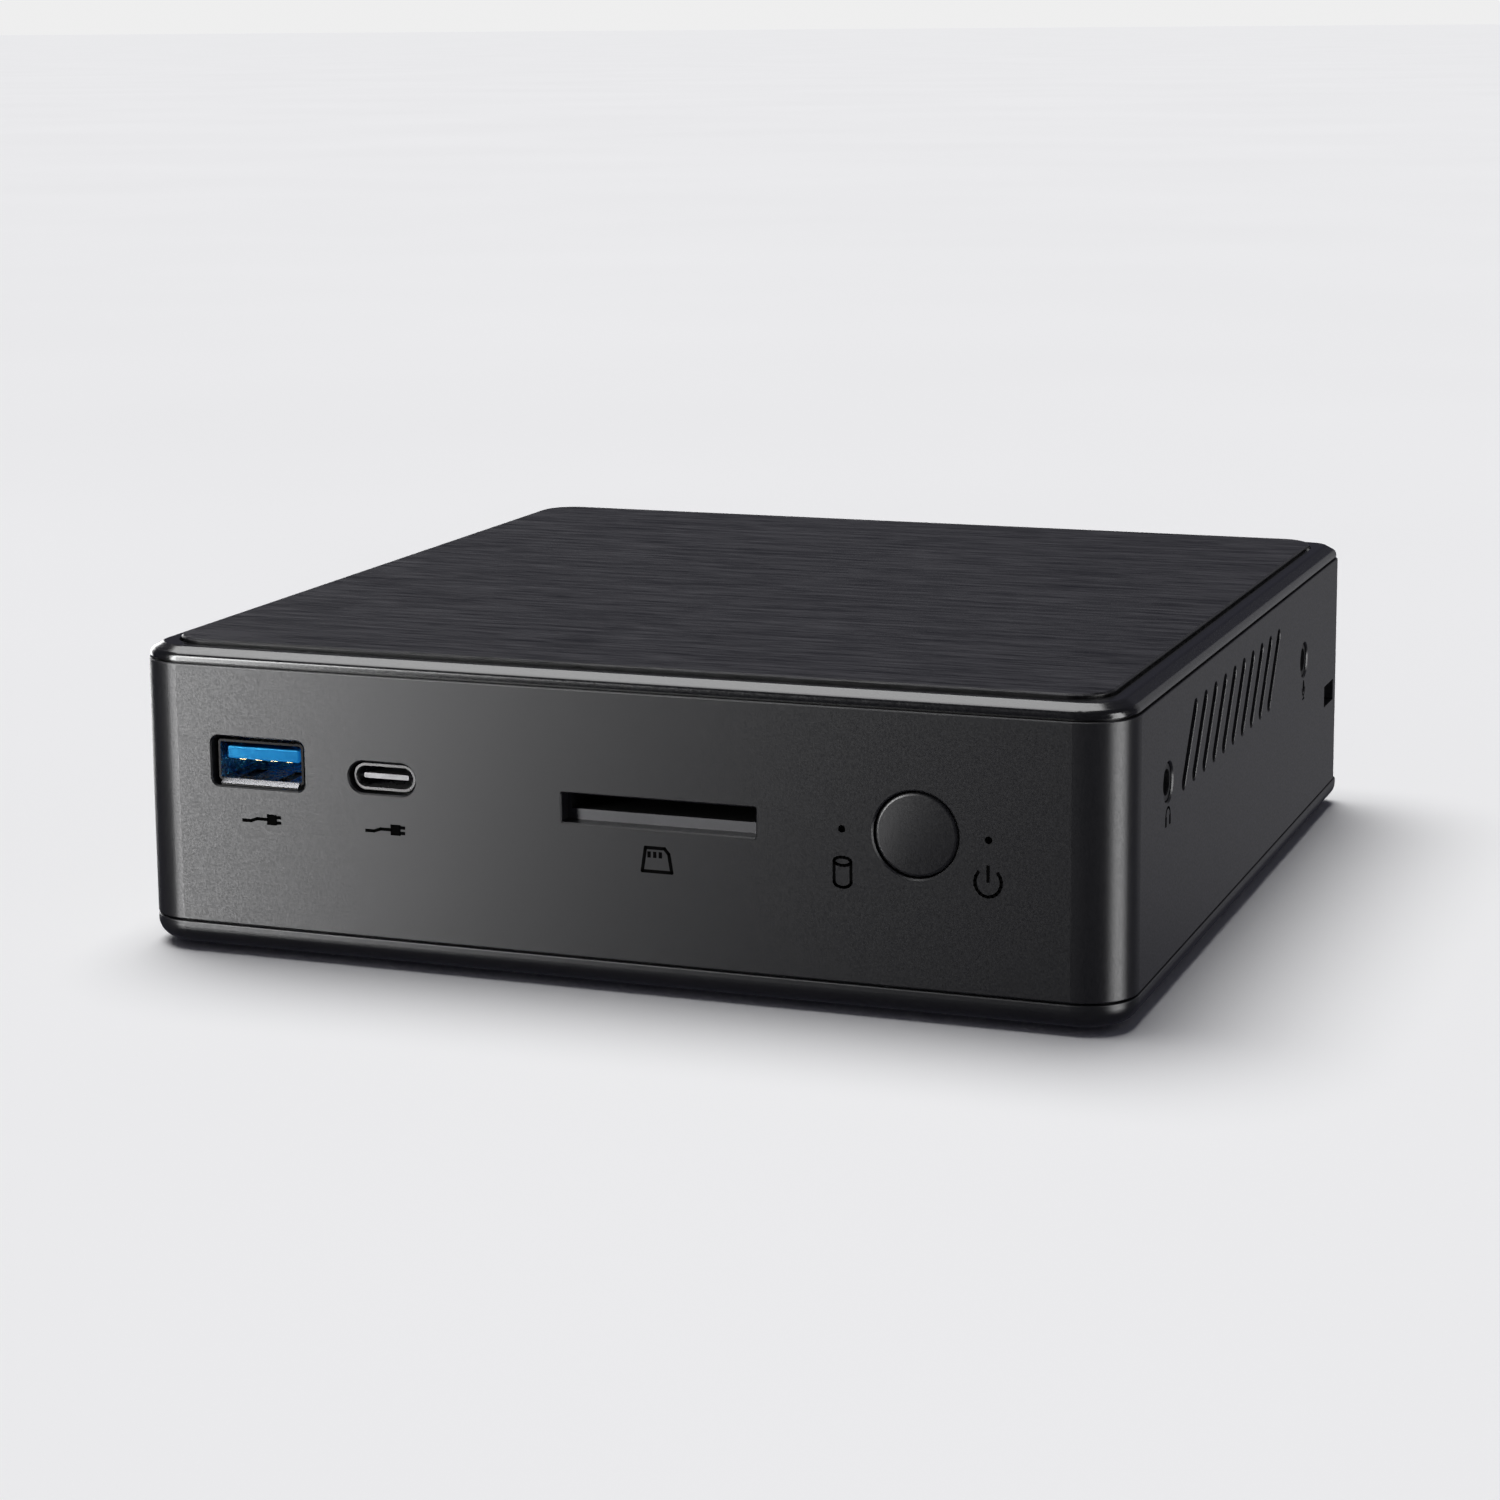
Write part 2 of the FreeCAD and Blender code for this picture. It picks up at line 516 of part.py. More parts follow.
def fan_cover():
    """Thin steel lid of the blower, with its round air intake."""
    f = FAN
    z0 = f["z0"] + f["h"]
    lid = plate(f["x"], f["y"], z0, f["housing"], f["housing"], 0.5, 8.0)
    return lid.cut(rod(15.0, 3.0, V(f["x"], f["y"], z0 - 1), V(0, 0, 1)))


def fan_rotor():
    """Blower wheel: a cup on the shaft with swept blades round it."""
    f = FAN
    z0 = f["z0"] + 1.6
    height = f["h"] - 2.4
    cup = rod(9.0, height, V(f["x"], f["y"], z0), V(0, 0, 1))
    cup = cup.makeFillet(0.8, edges_at_z(cup, z0 + height))
    blades = []
    count = 25
    for i in range(count):
        blade = box(11.0, f["rotor_r"], -0.35, 0.35, z0 + 0.4, z0 + height - 0.6)
        blade.rotate(V(11.0, 0, 0), V(0, 0, 1), 32)
        blade.rotate(V(0, 0, 0), V(0, 0, 1), i * 360.0 / count)
        blade.translate(V(f["x"], f["y"], 0))
        blades.append(blade)
    rim = rod(f["rotor_r"], 0.8, V(f["x"], f["y"], z0), V(0, 0, 1))
    whole = fuse([cup, rim] + blades)
    return whole.cut(rod(1.05, 5.7, V(f["x"], f["y"], z0 - 0.5), V(0, 0, 1)))


def chokes():
    """Row of power chokes beside the processor."""
    return group([plate(58.5, -16.0 + i * 8.5, BOARD_TOP, 7.0, 7.0, 3.2, 0.8) for i in range(4)])


def capacitors():
    """Row of can capacitors between the sockets and the processor."""
    return group([rod(2.6, 5.8, V(50.0 - i * 7.5, -32.0, BOARD_TOP), V(0, 0, 1)) for i in range(4)])


def chipset():
    """Interface chips in flat black packages."""
    spots = [(-47.0, 30.0, 9.0), (-34.0, 33.0, 7.0), (10.0, 36.0, 9.0), (12.0, -34.0, 7.0)]
    return group([block(x, y, BOARD_TOP, w, w, 1.0) for x, y, w in spots])


# ---- front sockets ------------------------------------------------------------------------------
def front_usb_a_shell():
    """Steel shell of the front A socket, with its turned-down lower lip and spring windows."""
    x, z = USB_A["x"], USB_A["z"]
    y0 = USB_A_MOUTH_Y + USB_A_LIP["depth"]
    y1 = PORT_FRONT_Y + 14.0
    outer = rounded_bar(13.14, 5.72, 0.5, y0, y1, x, z)
    inner = rounded_bar(12.5, 5.12, 0.3, y0 - 1, y1 - 0.6, x, z)
    windows = []
    for dx in (-3.1, 3.1):
        windows.append(box(x + dx - 0.9, x + dx + 0.9, y0 + 0.6, y0 + 6.0, z - 4.0, z - 2.3))
        windows.append(box(x + dx - 0.9, x + dx + 0.9, y0 + 0.6, y0 + 6.0, z + 2.3, z + 4.0))
    return fuse([outer.cut(inner).cut(group(windows)), usb_a_lip(x, y0, z - 2.56)])


def usb_a_lip(x, y, z):
    """Strip that turns down and forwards from the shell's floor."""
    lip = USB_A_LIP
    y_tip, z_tip = y - lip["depth"], z - lip["drop"]
    corners = [(y + 0.1, z), (y, z), (y_tip, z_tip), (y_tip, z_tip - lip["t"]), (y + 0.1, z - lip["t"])]
    points = [V(x - 5.9, py, pz) for py, pz in corners]
    return Part.Face(Part.makePolygon(points + points[:1])).extrude(V(11.8, 0, 0))


def front_usb_a_tongue():
    """Blue contact tongue with its back wall."""
    y1 = PORT_FRONT_Y + 13.4
    y0 = USB_A_MOUTH_Y + USB_A_LIP["depth"] + 0.7
    tongue = rounded_bar(11.1, 1.84, 0.3, y0, y1 - 1.5, USB_A["x"], USB_A["z"] + 0.95)
    tongue = tongue.makeFillet(0.25, edges_at_y(tongue, y0))
    back = box(USB_A["x"] - 6.1, USB_A["x"] + 6.1, y1 - 1.6, y1, USB_A["z"] - 2.45, USB_A["z"] + 2.45)
    return fuse([tongue, back])


def front_usb_a_contacts():
    """Four spring contacts on the underside of the tongue."""
    z0 = USB_A["z"] + 0.95 - 0.92 - 0.18
    xs = [USB_A["x"] + (i - 1.5) * 2.4 for i in range(4)]
    y0 = USB_A_MOUTH_Y + USB_A_LIP["depth"] + 1.5
    return group([box(x - 0.5, x + 0.5, y0, y0 + 7.2, z0, z0 + 0.18) for x in xs])


def front_usb_c_shell():
    """Stadium-shaped steel shell of the C socket."""
    y0, y1 = USB_C_MOUTH_Y, PORT_FRONT_Y + 7.5
    outer = rounded_bar(9.3, 3.66, 9, y0, y1, USB_C["x"], USB_C["z"])
    inner = rounded_bar(8.6, 2.96, 9, y0 - 1, y1 - 0.6, USB_C["x"], USB_C["z"])
    return outer.cut(inner)


def front_usb_c_tongue():
    """Thin centre tongue of the C socket with its back wall."""
    y0 = USB_C_MOUTH_Y + 0.6
    y1 = PORT_FRONT_Y + 6.9
    tongue = rounded_bar(6.7, 0.7, 0.2, y0, y1 - 1.0, USB_C["x"], USB_C["z"])
    back = rounded_bar(8.4, 2.8, 9, y1 - 1.1, y1, USB_C["x"], USB_C["z"])
    return fuse([tongue, back])


def front_socket_risers():
    """Plastic risers that carry the two front USB sockets on the board."""
    under_a = box(USB_A["x"] - 6.4, USB_A["x"] + 6.4, PORT_FRONT_Y + 1.5, PORT_FRONT_Y + 13.5,
                  BOARD_TOP, USB_A["z"] - 2.86)
    under_c = box(USB_C["x"] - 2.6, USB_C["x"] + 2.6, PORT_FRONT_Y + 1.0, PORT_FRONT_Y + 7.0,
                  BOARD_TOP, USB_C["z"] - 1.83)
    return group([under_a, under_c])


def card_reader_base():
    """Plastic floor of the card reader with its side rails and back stop."""
    y0, y1 = PORT_FRONT_Y + 0.35, PORT_FRONT_Y + CARD_DEPTH
    x0, x1 = CARD["x"] - CARD_BODY_W / 2, CARD["x"] + CARD_BODY_W / 2
    floor = box(x0, x1, y0, y1, BOARD_TOP, BOARD_TOP + CARD_FLOOR_T)
    left = box(x0, x0 + 1.2, y0, y1, BOARD_TOP, CARD_ROOF_Z)
    right = box(x1 - 0.8, x1, y0, y1, BOARD_TOP, CARD_ROOF_Z)
    stop = box(x0, x1, y1 - 1.2, y1, BOARD_TOP, CARD_ROOF_Z)
    return fuse([floor, left, right, stop])


def card_reader_cover():
    """Bright steel lid of the card reader, folded down in front into a frame round its mouth."""
    y0, y1 = PORT_FRONT_Y, PORT_FRONT_Y + CARD_DEPTH
    x0, x1 = CARD["x"] - CARD_BODY_W / 2, CARD["x"] + CARD_BODY_W / 2
    lid = box(x0, x1, y0, y1, CARD_ROOF_Z, CARD_ROOF_Z + CARD_ROOF_T)
    windows = [block(CARD["x"] + dx, y0 + 12.0, CARD_ROOF_Z - 1, 5.0, 8.0, 3.0) for dx in (-7.0, 5.0)]
    frame = box(x0, x1, y0, y0 + 0.3, CARD["z"] - 2.3, CARD_ROOF_Z + CARD_ROOF_T)
    mouth = box(x0 + 1.2, x1 - 0.8, y0 - 1, y0 + 1, BOARD_TOP + CARD_FLOOR_T, CARD_ROOF_Z)
    return fuse([lid.cut(group(windows)), frame.cut(mouth)])


def card_contacts():
    """Nine gold contact blades on the reader's floor."""
    z0 = BOARD_TOP + CARD_FLOOR_T
    xs = [CARD["x"] - 9.5 + i * 2.5 for i in range(9)]
    return group([box(x - 0.4, x + 0.4, PORT_FRONT_Y + 17.0, PORT_FRONT_Y + 23.5, z0, z0 + 0.2) for x in xs])


def card_slider():
    """Sliding catch of the push-push reader: it runs back with the card and springs forward to eject it."""
    x1 = CARD["x"] + CARD_BODY_W / 2 - 0.95
    z0 = BOARD_TOP + CARD_FLOOR_T + 0.3
    y1 = PORT_FRONT_Y + CARD_DEPTH - 1.2 - SLIDER_TRAVEL - 0.4
    rail = box(x1 - 1.5, x1, y1 - 13.0, y1, z0, z0 + 1.6)
    foot = box(x1 - 3.2, x1, y1 - 2.0, y1, z0, z0 + 1.6)
    return fuse([rail, foot])


# ---- power button -------------------------------------------------------------------------------
def power_button():
    """Round key cap with a slightly domed face, a retaining flange behind the wall and a push stem."""
    at = V(BUTTON["x"], CAP_FRONT_Y, BUTTON["z"])
    cap = rod(BUTTON["cap_r"], CAP_FLANGE_Y - CAP_FRONT_Y, at, V(0, 1, 0))
    dome = Part.makeSphere(BUTTON["dome_r"], at.add(V(0, BUTTON["dome_r"], 0)))
    cap = cap.common(dome)
    rim = [e for e in cap.Edges if e.BoundBox.YMax < CAP_FRONT_Y + 1.0 and e.BoundBox.XLength > BUTTON["cap_r"]]
    cap = cap.makeFillet(0.5, rim)
    flange = rod(BUTTON["cap_r"] + 0.9, 0.8, V(BUTTON["x"], CAP_FLANGE_Y, BUTTON["z"]), V(0, 1, 0))
    stem = rod(1.3, 0.8, V(BUTTON["x"], CAP_FLANGE_Y + 0.8, BUTTON["z"]), V(0, 1, 0))
    return fuse([cap, flange, stem])


def switch_plunger():
    """Round plunger of the tact switch; the key's stem rests on it."""
    return rod(0.9, 1.6, V(BUTTON["x"], STEM_END_Y + STEM_GAP, BUTTON["z"]), V(0, 1, 0))


def tact_switch():
    """Side-push tact switch soldered on the board behind the key."""
    body = block(BUTTON["x"], SWITCH_BODY_Y + 2.0, BOARD_TOP, 6.2, 4.0, 3.4)
    return body.cut(rod(1.0, 2.4, V(BUTTON["x"], SWITCH_BODY_Y - 1.0, BUTTON["z"]), V(0, 1, 0)))


def led_pipes():
    """Two smoked light pipes that end inside the indicator holes."""
    pipes = []
    for x in LED_X:
        nose = rod(LED_HOLE_R - 0.05, WALL - 1.4, V(x, -HALF_D + 1.4, LED_Z), V(0, 1, 0))
        body = rod(1.2, 2.2, V(x, -HALF_D + WALL, LED_Z), V(0, 1, 0))
        pipes.append(fuse([nose, body]))
    return group(pipes)


def led_chips():
    """Two side-looking indicator lamps on the board behind the light pipes."""
    return group([block(x, -HALF_D + WALL + 3.4, BOARD_TOP, 3.0, 2.2, 2.6) for x in LED_X])


# ---- right-hand sockets -------------------------------------------------------------------------
def audio_jacks():
    """Two headset sockets: black bodies whose round noses reach through the side wall."""
    jacks = []
    x1 = HALF_W - WALL - 0.1
    for y in JACK_Y:
        body = box(x1 - 12.9, x1, y - 3.1, y + 3.1, BOARD_TOP, JACK_Z + 3.0)
        nose = rod(JACK_NOSE_R, JACK_NOSE_X - x1, V(x1, y, JACK_Z), V(1, 0, 0))
        bore_x = HALF_W - WALL - 12.0
        bore = rod(JACK_BORE_R, JACK_NOSE_X - bore_x, V(bore_x, y, JACK_Z), V(1, 0, 0))
        jacks.append(fuse([body, nose]).cut(bore))
    return group(jacks)


# ---- rear connectors ----------------------------------------------------------------------------
def port(name):
    """The rear connector with that name."""
    return next(p for p in REAR_PORTS if p["name"] == name)


def hollow_port(p, depth, wall, corner=0.4):
    """Shell of a rear connector, open to the back."""
    outer = rounded_bar(p["w"], p["h"], corner, REAR_MOUTH_Y - depth, REAR_MOUTH_Y, p["x"], p["z"])
    inner = rounded_bar(p["w"] - 2 * wall, p["h"] - 2 * wall, max(corner - wall, 0.1),
                        REAR_MOUTH_Y - depth + wall, REAR_MOUTH_Y + 1, p["x"], p["z"])
    return outer.cut(inner)


def lan_socket():
    """Network socket: a steel-clad block with a stepped plug cavity."""
    p = port("lan")
    body = rounded_bar(p["w"], p["h"], 0.4, REAR_MOUTH_Y - 19.0, REAR_MOUTH_Y, p["x"], p["z"])
    c = LAN_CAVITY
    z_mid = p["z"] + 0.3
    cavity = box(p["x"] - c["w"] / 2, p["x"] + c["w"] / 2, REAR_MOUTH_Y - c["depth"], REAR_MOUTH_Y + 1,
                 z_mid - c["h"] / 2, z_mid + c["h"] / 2)
    latch = box(p["x"] - 3.1, p["x"] + 3.1, REAR_MOUTH_Y - 9.0, REAR_MOUTH_Y + 1,
                z_mid - c["h"] / 2 - 1.6, z_mid - c["h"] / 2 + 0.1)
    return body.cut(fuse([cavity, latch]))


def lan_contacts():
    """Eight sprung contact wires that slope down from the cavity's roof."""
    p = port("lan")
    top = p["z"] + 0.3 + LAN_CAVITY["h"] / 2
    y0 = REAR_MOUTH_Y - LAN_CAVITY["depth"]
    wires = []
    for i in range(8):
        x = p["x"] + (i - 3.5) * 1.02
        wires.append(box(x - 0.2, x + 0.2, y0 + 0.02, y0 + 7.0, top - 0.42, top - 0.02))
    return group(wires)


def hdmi_shell():
    """Video socket shell."""
    return hollow_port(port("hdmi"), 11.0, 0.35)


def hdmi_tongue():
    """Contact tongue of the video socket with its back wall."""
    p = port("hdmi")
    y1 = REAR_MOUTH_Y - 0.8
    tongue = box(p["x"] - 6.2, p["x"] + 6.2, REAR_MOUTH_Y - 9.5, y1, p["z"] - 0.3, p["z"] + 0.7)
    back = box(p["x"] - 7.0, p["x"] + 7.0, REAR_MOUTH_Y - 10.6, REAR_MOUTH_Y - 9.4, p["z"] - 2.3, p["z"] + 2.3)
    return fuse([tongue, back])


def display_shell():
    """Small display socket shell."""
    return hollow_port(port("display"), 10.0, 0.35)


def display_tongue():
    """Contact tongue of the small display socket with its back wall."""
    p = port("display")
    tongue = box(p["x"] - 2.9, p["x"] + 2.9, REAR_MOUTH_Y - 8.6, REAR_MOUTH_Y - 0.9, p["z"] - 0.2, p["z"] + 0.7)
    back = box(p["x"] - 4.2, p["x"] + 4.2, REAR_MOUTH_Y - 9.6, REAR_MOUTH_Y - 8.5, p["z"] - 2.6, p["z"] + 2.6)
    return fuse([tongue, back])


def rear_usb_shell():
    """Double-stack A socket: one steel shell round two mouths."""
    p = port("usb")
    outer = rounded_bar(p["w"], p["h"], 0.5, REAR_MOUTH_Y - 17.0, REAR_MOUTH_Y, p["x"], p["z"])
    mouths = [rounded_bar(12.5, 5.12, 0.3, REAR_MOUTH_Y - 12.0, REAR_MOUTH_Y + 1, p["x"], p["z"] + dz)
              for dz in USB_STACK_DZ]
    return outer.cut(group(mouths))


def rear_usb_tongues():
    """Black contact tongues of the two rear A sockets."""
    p = port("usb")
    y0, y1 = REAR_MOUTH_Y - 12.0, REAR_MOUTH_Y - 1.2
    return group([rounded_bar(11.1, 1.84, 0.3, y0, y1, p["x"], p["z"] + dz + 0.95) for dz in USB_STACK_DZ])


def power_socket():
    """Barrel power inlet: a black block with a round mouth."""
    y0, y1 = REAR_MOUTH_Y - 12.0, HALF_D - WALL - 1.0
    block_body = box(DC["x"] - 4.6, DC["x"] + 4.6, y0, y1, BOARD_TOP, DC["z"] + 4.6)
    collar = rod(DC["r"], REAR_MOUTH_Y - y1, V(DC["x"], y1, DC["z"]), V(0, 1, 0))
    body = fuse([block_body, collar])
    return body.cut(rod(2.9, 9.5, V(DC["x"], REAR_MOUTH_Y - 9.0, DC["z"]), V(0, 1, 0)))


def power_pin():
    """Centre pin of the power inlet."""
    pin = rod(1.0, 8.2, V(DC["x"], REAR_MOUTH_Y - 9.0, DC["z"]), V(0, 1, 0))
    return pin.makeFillet(0.4, edges_at_y(pin, REAR_MOUTH_Y - 0.8))


def antenna_plugs():
    """Two blanking plugs in the aerial holes of the rear panel."""
    plugs = []
    for x in ANTENNA_X:
        head = rod(4.0, 0.8, V(x, HALF_D - WALL, ANTENNA_Z), V(0, 1, 0))
        head = head.makeFillet(0.35, edges_at_y(head, HALF_D - WALL + 0.8))
        neck = rod(3.2, 1.6, V(x, HALF_D - WALL - 1.6, ANTENNA_Z), V(0, 1, 0))
        plugs.append(fuse([head, neck]))
    return group(plugs)


# ---- underside of the board ---------------------------------------------------------------------
def memory_sockets():
    """Two stacked notebook memory sockets with their side arms."""
    sockets = []
    for i, z in enumerate(DIMM_LEVELS):
        z_top = BOARD_Z0 if i == 0 else DIMM_LEVELS[0] - 0.6
        y = -46.0
        bar = box(DIMM_X - 36.0, DIMM_X + 36.0, y - 4.0, y, z - 0.5, z_top)
        slot = box(DIMM_X - 34.0, DIMM_X + 34.0, y - 2.0, y + 1.0, z - 0.02, z + 1.24)
        sockets.append(bar.cut(slot))
    return group(sockets)


def memory_modules():
    """Two notebook memory modules, each a small board with four chips a side."""
    modules = []
    for z in DIMM_LEVELS:
        y0 = -47.9
        board = box(DIMM_X - 33.8, DIMM_X + 33.8, y0, y0 + 30.0, z, z + 1.2)
        chips = [box(DIMM_X - 31.0 + i * 16.0, DIMM_X - 19.0 + i * 16.0, y0 + 9.0, y0 + 21.0, z - 0.7, z)
                 for i in range(4)]
        modules.append(fuse([board] + chips))
    return group(modules)


def solid_state_stick():
    """M.2 drive under the board, held at its far end."""
    z = BOARD_Z0 - 3.4
    board = box(-58.8, -36.8, -36.0, 44.0, z, z + 0.8)
    chips = [box(-55.3, -40.3, -30.0 + i * 18.0, -16.0 + i * 18.0, z - 1.2, z) for i in range(4)]
    return fuse([board] + chips)


def stick_socket():
    """Edge socket and end post of the M.2 drive."""
    z = BOARD_Z0 - 3.4
    socket = box(-58.8, -36.8, -41.0, -36.0, z - 0.6, BOARD_Z0)
    post = rod(2.6, BOARD_Z0 - z - 0.8, V(-47.8, 42.6, z + 0.8), V(0, 0, 1))
    return group([socket, post])


def radio_card():
    """Wireless card with its shield can."""
    z = BOARD_Z0 - 3.2
    board = box(-34.0, -12.0, 12.0, 42.0, z, z + 0.8)
    can = box(-31.5, -14.5, 18.0, 36.0, z - 1.4, z)
    return fuse([board, can])


def radio_socket():
    """Edge socket of the wireless card."""
    return box(-34.0, -12.0, 42.0, 47.0, BOARD_Z0 - 3.8, BOARD_Z0)


def coin_cell():
    """Clock battery in its place under the board."""
    cell = rod(10.0, 3.2, V(-32.0, -52.0, BOARD_Z0 - 4.2), V(0, 0, 1))
    return cell.makeFillet(0.4, edges_at_z(cell, BOARD_Z0 - 4.2))


def coin_cell_holder():
    """Holder that clips the clock battery to the board."""
    base = rod(11.0, 4.2, V(-32.0, -52.0, BOARD_Z0 - 4.2), V(0, 0, 1))
    base = base.cut(rod(10.05, 3.2, V(-32.0, -52.0, BOARD_Z0 - 4.2), V(0, 0, 1)))
    return base.cut(box(-36.0, -28.0, -64.0, -58.0, BOARD_Z0 - 5.0, BOARD_Z0 - 1.0))


def storage_drive():
    """2.5-inch drive lying in the bottom cover."""
    d = DRIVE
    body = plate(d["x"], d["y"], d["z0"], d["w"], d["d"], d["h"], 1.5)
    rim = edges_at_z(body, d["z0"] + d["h"])
    return body.makeChamfer(0.4, rim)


def drive_bracket():
    """Steel bracket under the drive: two side rails with shelves and feet, joined by two cross straps."""
    d = DRIVE
    z_floor = CASE_Z + TRAY_FLOOR
    z_shelf = d["z0"] - 0.8
    parts = []
    for sy in (-1, 1):
        y_wall = d["y"] + sy * (d["d"] / 2 + 0.5)
        y_shelf = d["y"] + sy * (d["d"] / 2 - 1.5)
        y_foot = d["y"] + sy * (d["d"] / 2 + 3.0)
        parts.append(block(d["x"], y_wall, z_floor, 88.0, 1.0, 7.5))
        parts.append(block(d["x"], y_shelf, z_shelf, 88.0, 4.0, 0.8))
        parts += [block(d["x"] + sx * 38.0, y_foot, z_floor, 12.0, 5.0, 0.8) for sx in (-1, 1)]
    parts += [block(d["x"] + sx * 14.0, d["y"], z_shelf, 8.0, d["d"], 0.8) for sx in (-1, 1)]
    return fuse(parts)


def drive_cable():
    """Flat ribbon from the drive's connector up to the board."""
    d = DRIVE
    x0 = d["x"] - d["w"] / 2
    z = d["z0"] + 3.0
    y0, y1 = -6.0, 12.0
    out = box(x0 - 5.0, x0 - 0.1, y0, y1, z, z + 0.3)
    rise = box(x0 - 5.0, x0 - 4.7, y0, y1, z, BOARD_Z0 - 6.0)
    back = box(x0 - 5.0, x0 + 5.0, y0, y1, BOARD_Z0 - 6.3, BOARD_Z0 - 6.0)
    return fuse([out, rise, back])


# ---- feet and fasteners -------------------------------------------------------------------------
def rubber_feet():
    """Four round rubber feet in shallow seats."""
    feet = [rod(FOOT_R, FOOT_PROUD + 0.7, V(x, y, 0), V(0, 0, 1)) for x, y in four(FOOT_XY, FOOT_XY)]
    return group([foot.makeFillet(0.3, edges_at_z(foot, 0)) for foot in feet])


def cross_screw(x, y, z, head_r, head_h, shank_r, shank_len, up):
    """Pan-head screw with a cross recess; up says which way the shank points."""
    axis = V(0, 0, 1 if up else -1)
    head = rod(head_r, head_h, V(x, y, z), axis)
    shank = rod(shank_r, shank_len, V(x, y, z + axis.z * head_h), axis)
    head = head.makeFillet(0.2, edges_at_z(head, z))
    arm = head_r * 1.1
    low = min(z, z + axis.z * 0.7)
    recess = [block(x, y, low, arm, head_r * 0.26, 0.7), block(x, y, low, head_r * 0.26, arm, 0.7)]
    return fuse([head, shank]).cut(group(recess))


def bottom_screws():
    """Four screws that hold the bottom cover to the shell's corner posts."""
    return group([cross_screw(x, y, CASE_Z + 0.2, 2.8, 1.6, 1.2, 7.0, True)
                  for x, y in four(CORNER_SCREW, CORNER_SCREW)])


def board_screws():
    """Four screws that hold the board on the shell's ledges."""
    return group([cross_screw(x, y, BOARD_TOP + 1.5, 2.5, 1.5, 1.0, 5.0, False) for x, y in BOARD_SCREWS])


NODES = {
    "chassis_shell": chassis_shell,
    "top_cover": top_cover,
    "top_plate": top_plate,
    "bottom_cover": bottom_cover,
    "rear_panel": rear_panel,
    "vent_screens": vent_screens,
    "lock_anchor": lock_anchor,
    "mainboard": mainboard,
    "cpu_package": cpu_package,
    "cold_plate": cold_plate,
    "heat_pipes": heat_pipes,
    "fin_stack": fin_stack,
    "fan_housing": fan_housing,
    "fan_cover": fan_cover,
    "fan_rotor": fan_rotor,
    "chokes": chokes,
    "capacitors": capacitors,
    "chipset": chipset,
    "front_usb_a_shell": front_usb_a_shell,
    "front_usb_a_tongue": front_usb_a_tongue,
    "front_usb_a_contacts": front_usb_a_contacts,
    "front_usb_c_shell": front_usb_c_shell,
    "front_usb_c_tongue": front_usb_c_tongue,
    "front_socket_risers": front_socket_risers,
    "card_reader_base": card_reader_base,
    "card_reader_cover": card_reader_cover,
    "card_contacts": card_contacts,
    "card_slider": card_slider,
    "power_button": power_button,
    "switch_plunger": switch_plunger,
    "tact_switch": tact_switch,
    "led_pipes": led_pipes,
    "led_chips": led_chips,
    "audio_jacks": audio_jacks,
    "lan_socket": lan_socket,
    "lan_contacts": lan_contacts,
    "hdmi_shell": hdmi_shell,
    "hdmi_tongue": hdmi_tongue,
    "display_shell": display_shell,
    "display_tongue": display_tongue,
    "rear_usb_shell": rear_usb_shell,
    "rear_usb_tongues": rear_usb_tongues,
    "power_socket": power_socket,
    "power_pin": power_pin,
    "antenna_plugs": antenna_plugs,
    "memory_sockets": memory_sockets,
    "memory_modules": memory_modules,
    "solid_state_stick": solid_state_stick,
    "stick_socket": stick_socket,
    "radio_card": radio_card,
    "radio_socket": radio_socket,
    "coin_cell": coin_cell,
    "coin_cell_holder": coin_cell_holder,
    "storage_drive": storage_drive,
    "drive_bracket": drive_bracket,
    "drive_cable": drive_cable,
    "rubber_feet": rubber_feet,
    "bottom_screws": bottom_screws,
    "board_screws": board_screws,
}


def main():
    """Writes every piece to parts/, one file per node."""
    os.makedirs("parts", exist_ok=True)
    for name, make in NODES.items():
        shape = make()
        solids = shape.Solids
        if not solids or not all(s.isValid() and s.Volume > 0 for s in solids):
            raise SystemExit(f"{name} is not made of valid solids")
        shape.exportStep(f"parts/{name}.step")
        print(f"{name}: {len(solids)} solid(s), {sum(s.Volume for s in solids):.1f} mm3")


main()
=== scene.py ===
"""Looks of the compact desktop computer: materials, printed symbols, studio and camera."""
import bpy
import bmesh
import math
from mathutils import Matrix, Vector


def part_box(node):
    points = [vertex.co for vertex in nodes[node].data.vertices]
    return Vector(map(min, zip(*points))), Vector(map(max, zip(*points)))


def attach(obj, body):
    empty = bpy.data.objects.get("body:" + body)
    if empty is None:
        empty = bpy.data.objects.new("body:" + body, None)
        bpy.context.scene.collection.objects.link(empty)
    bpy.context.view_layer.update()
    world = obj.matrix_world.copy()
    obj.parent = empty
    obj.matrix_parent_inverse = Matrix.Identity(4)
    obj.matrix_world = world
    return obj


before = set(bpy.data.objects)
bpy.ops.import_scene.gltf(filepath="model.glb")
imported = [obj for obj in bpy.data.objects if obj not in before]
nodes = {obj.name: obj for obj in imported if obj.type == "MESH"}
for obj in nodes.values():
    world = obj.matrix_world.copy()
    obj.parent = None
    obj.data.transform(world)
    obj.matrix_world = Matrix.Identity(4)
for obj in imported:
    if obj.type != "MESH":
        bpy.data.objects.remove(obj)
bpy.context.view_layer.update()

MM = 0.001
BROAD_CELLS = (60, 60, 60)       # cells per metre of the slow tone variation
GRAIN_DEPTH = 0.03 * MM


# ---- node helpers -------------------------------------------------------------------------------
def new_material(name):
    """Empty node material with its Principled shader; returns (material, tree, shader)."""
    mat = bpy.data.materials.new(name)
    mat.use_nodes = True
    tree = mat.node_tree
    shader = tree.nodes["Principled BSDF"]
    return mat, tree, shader


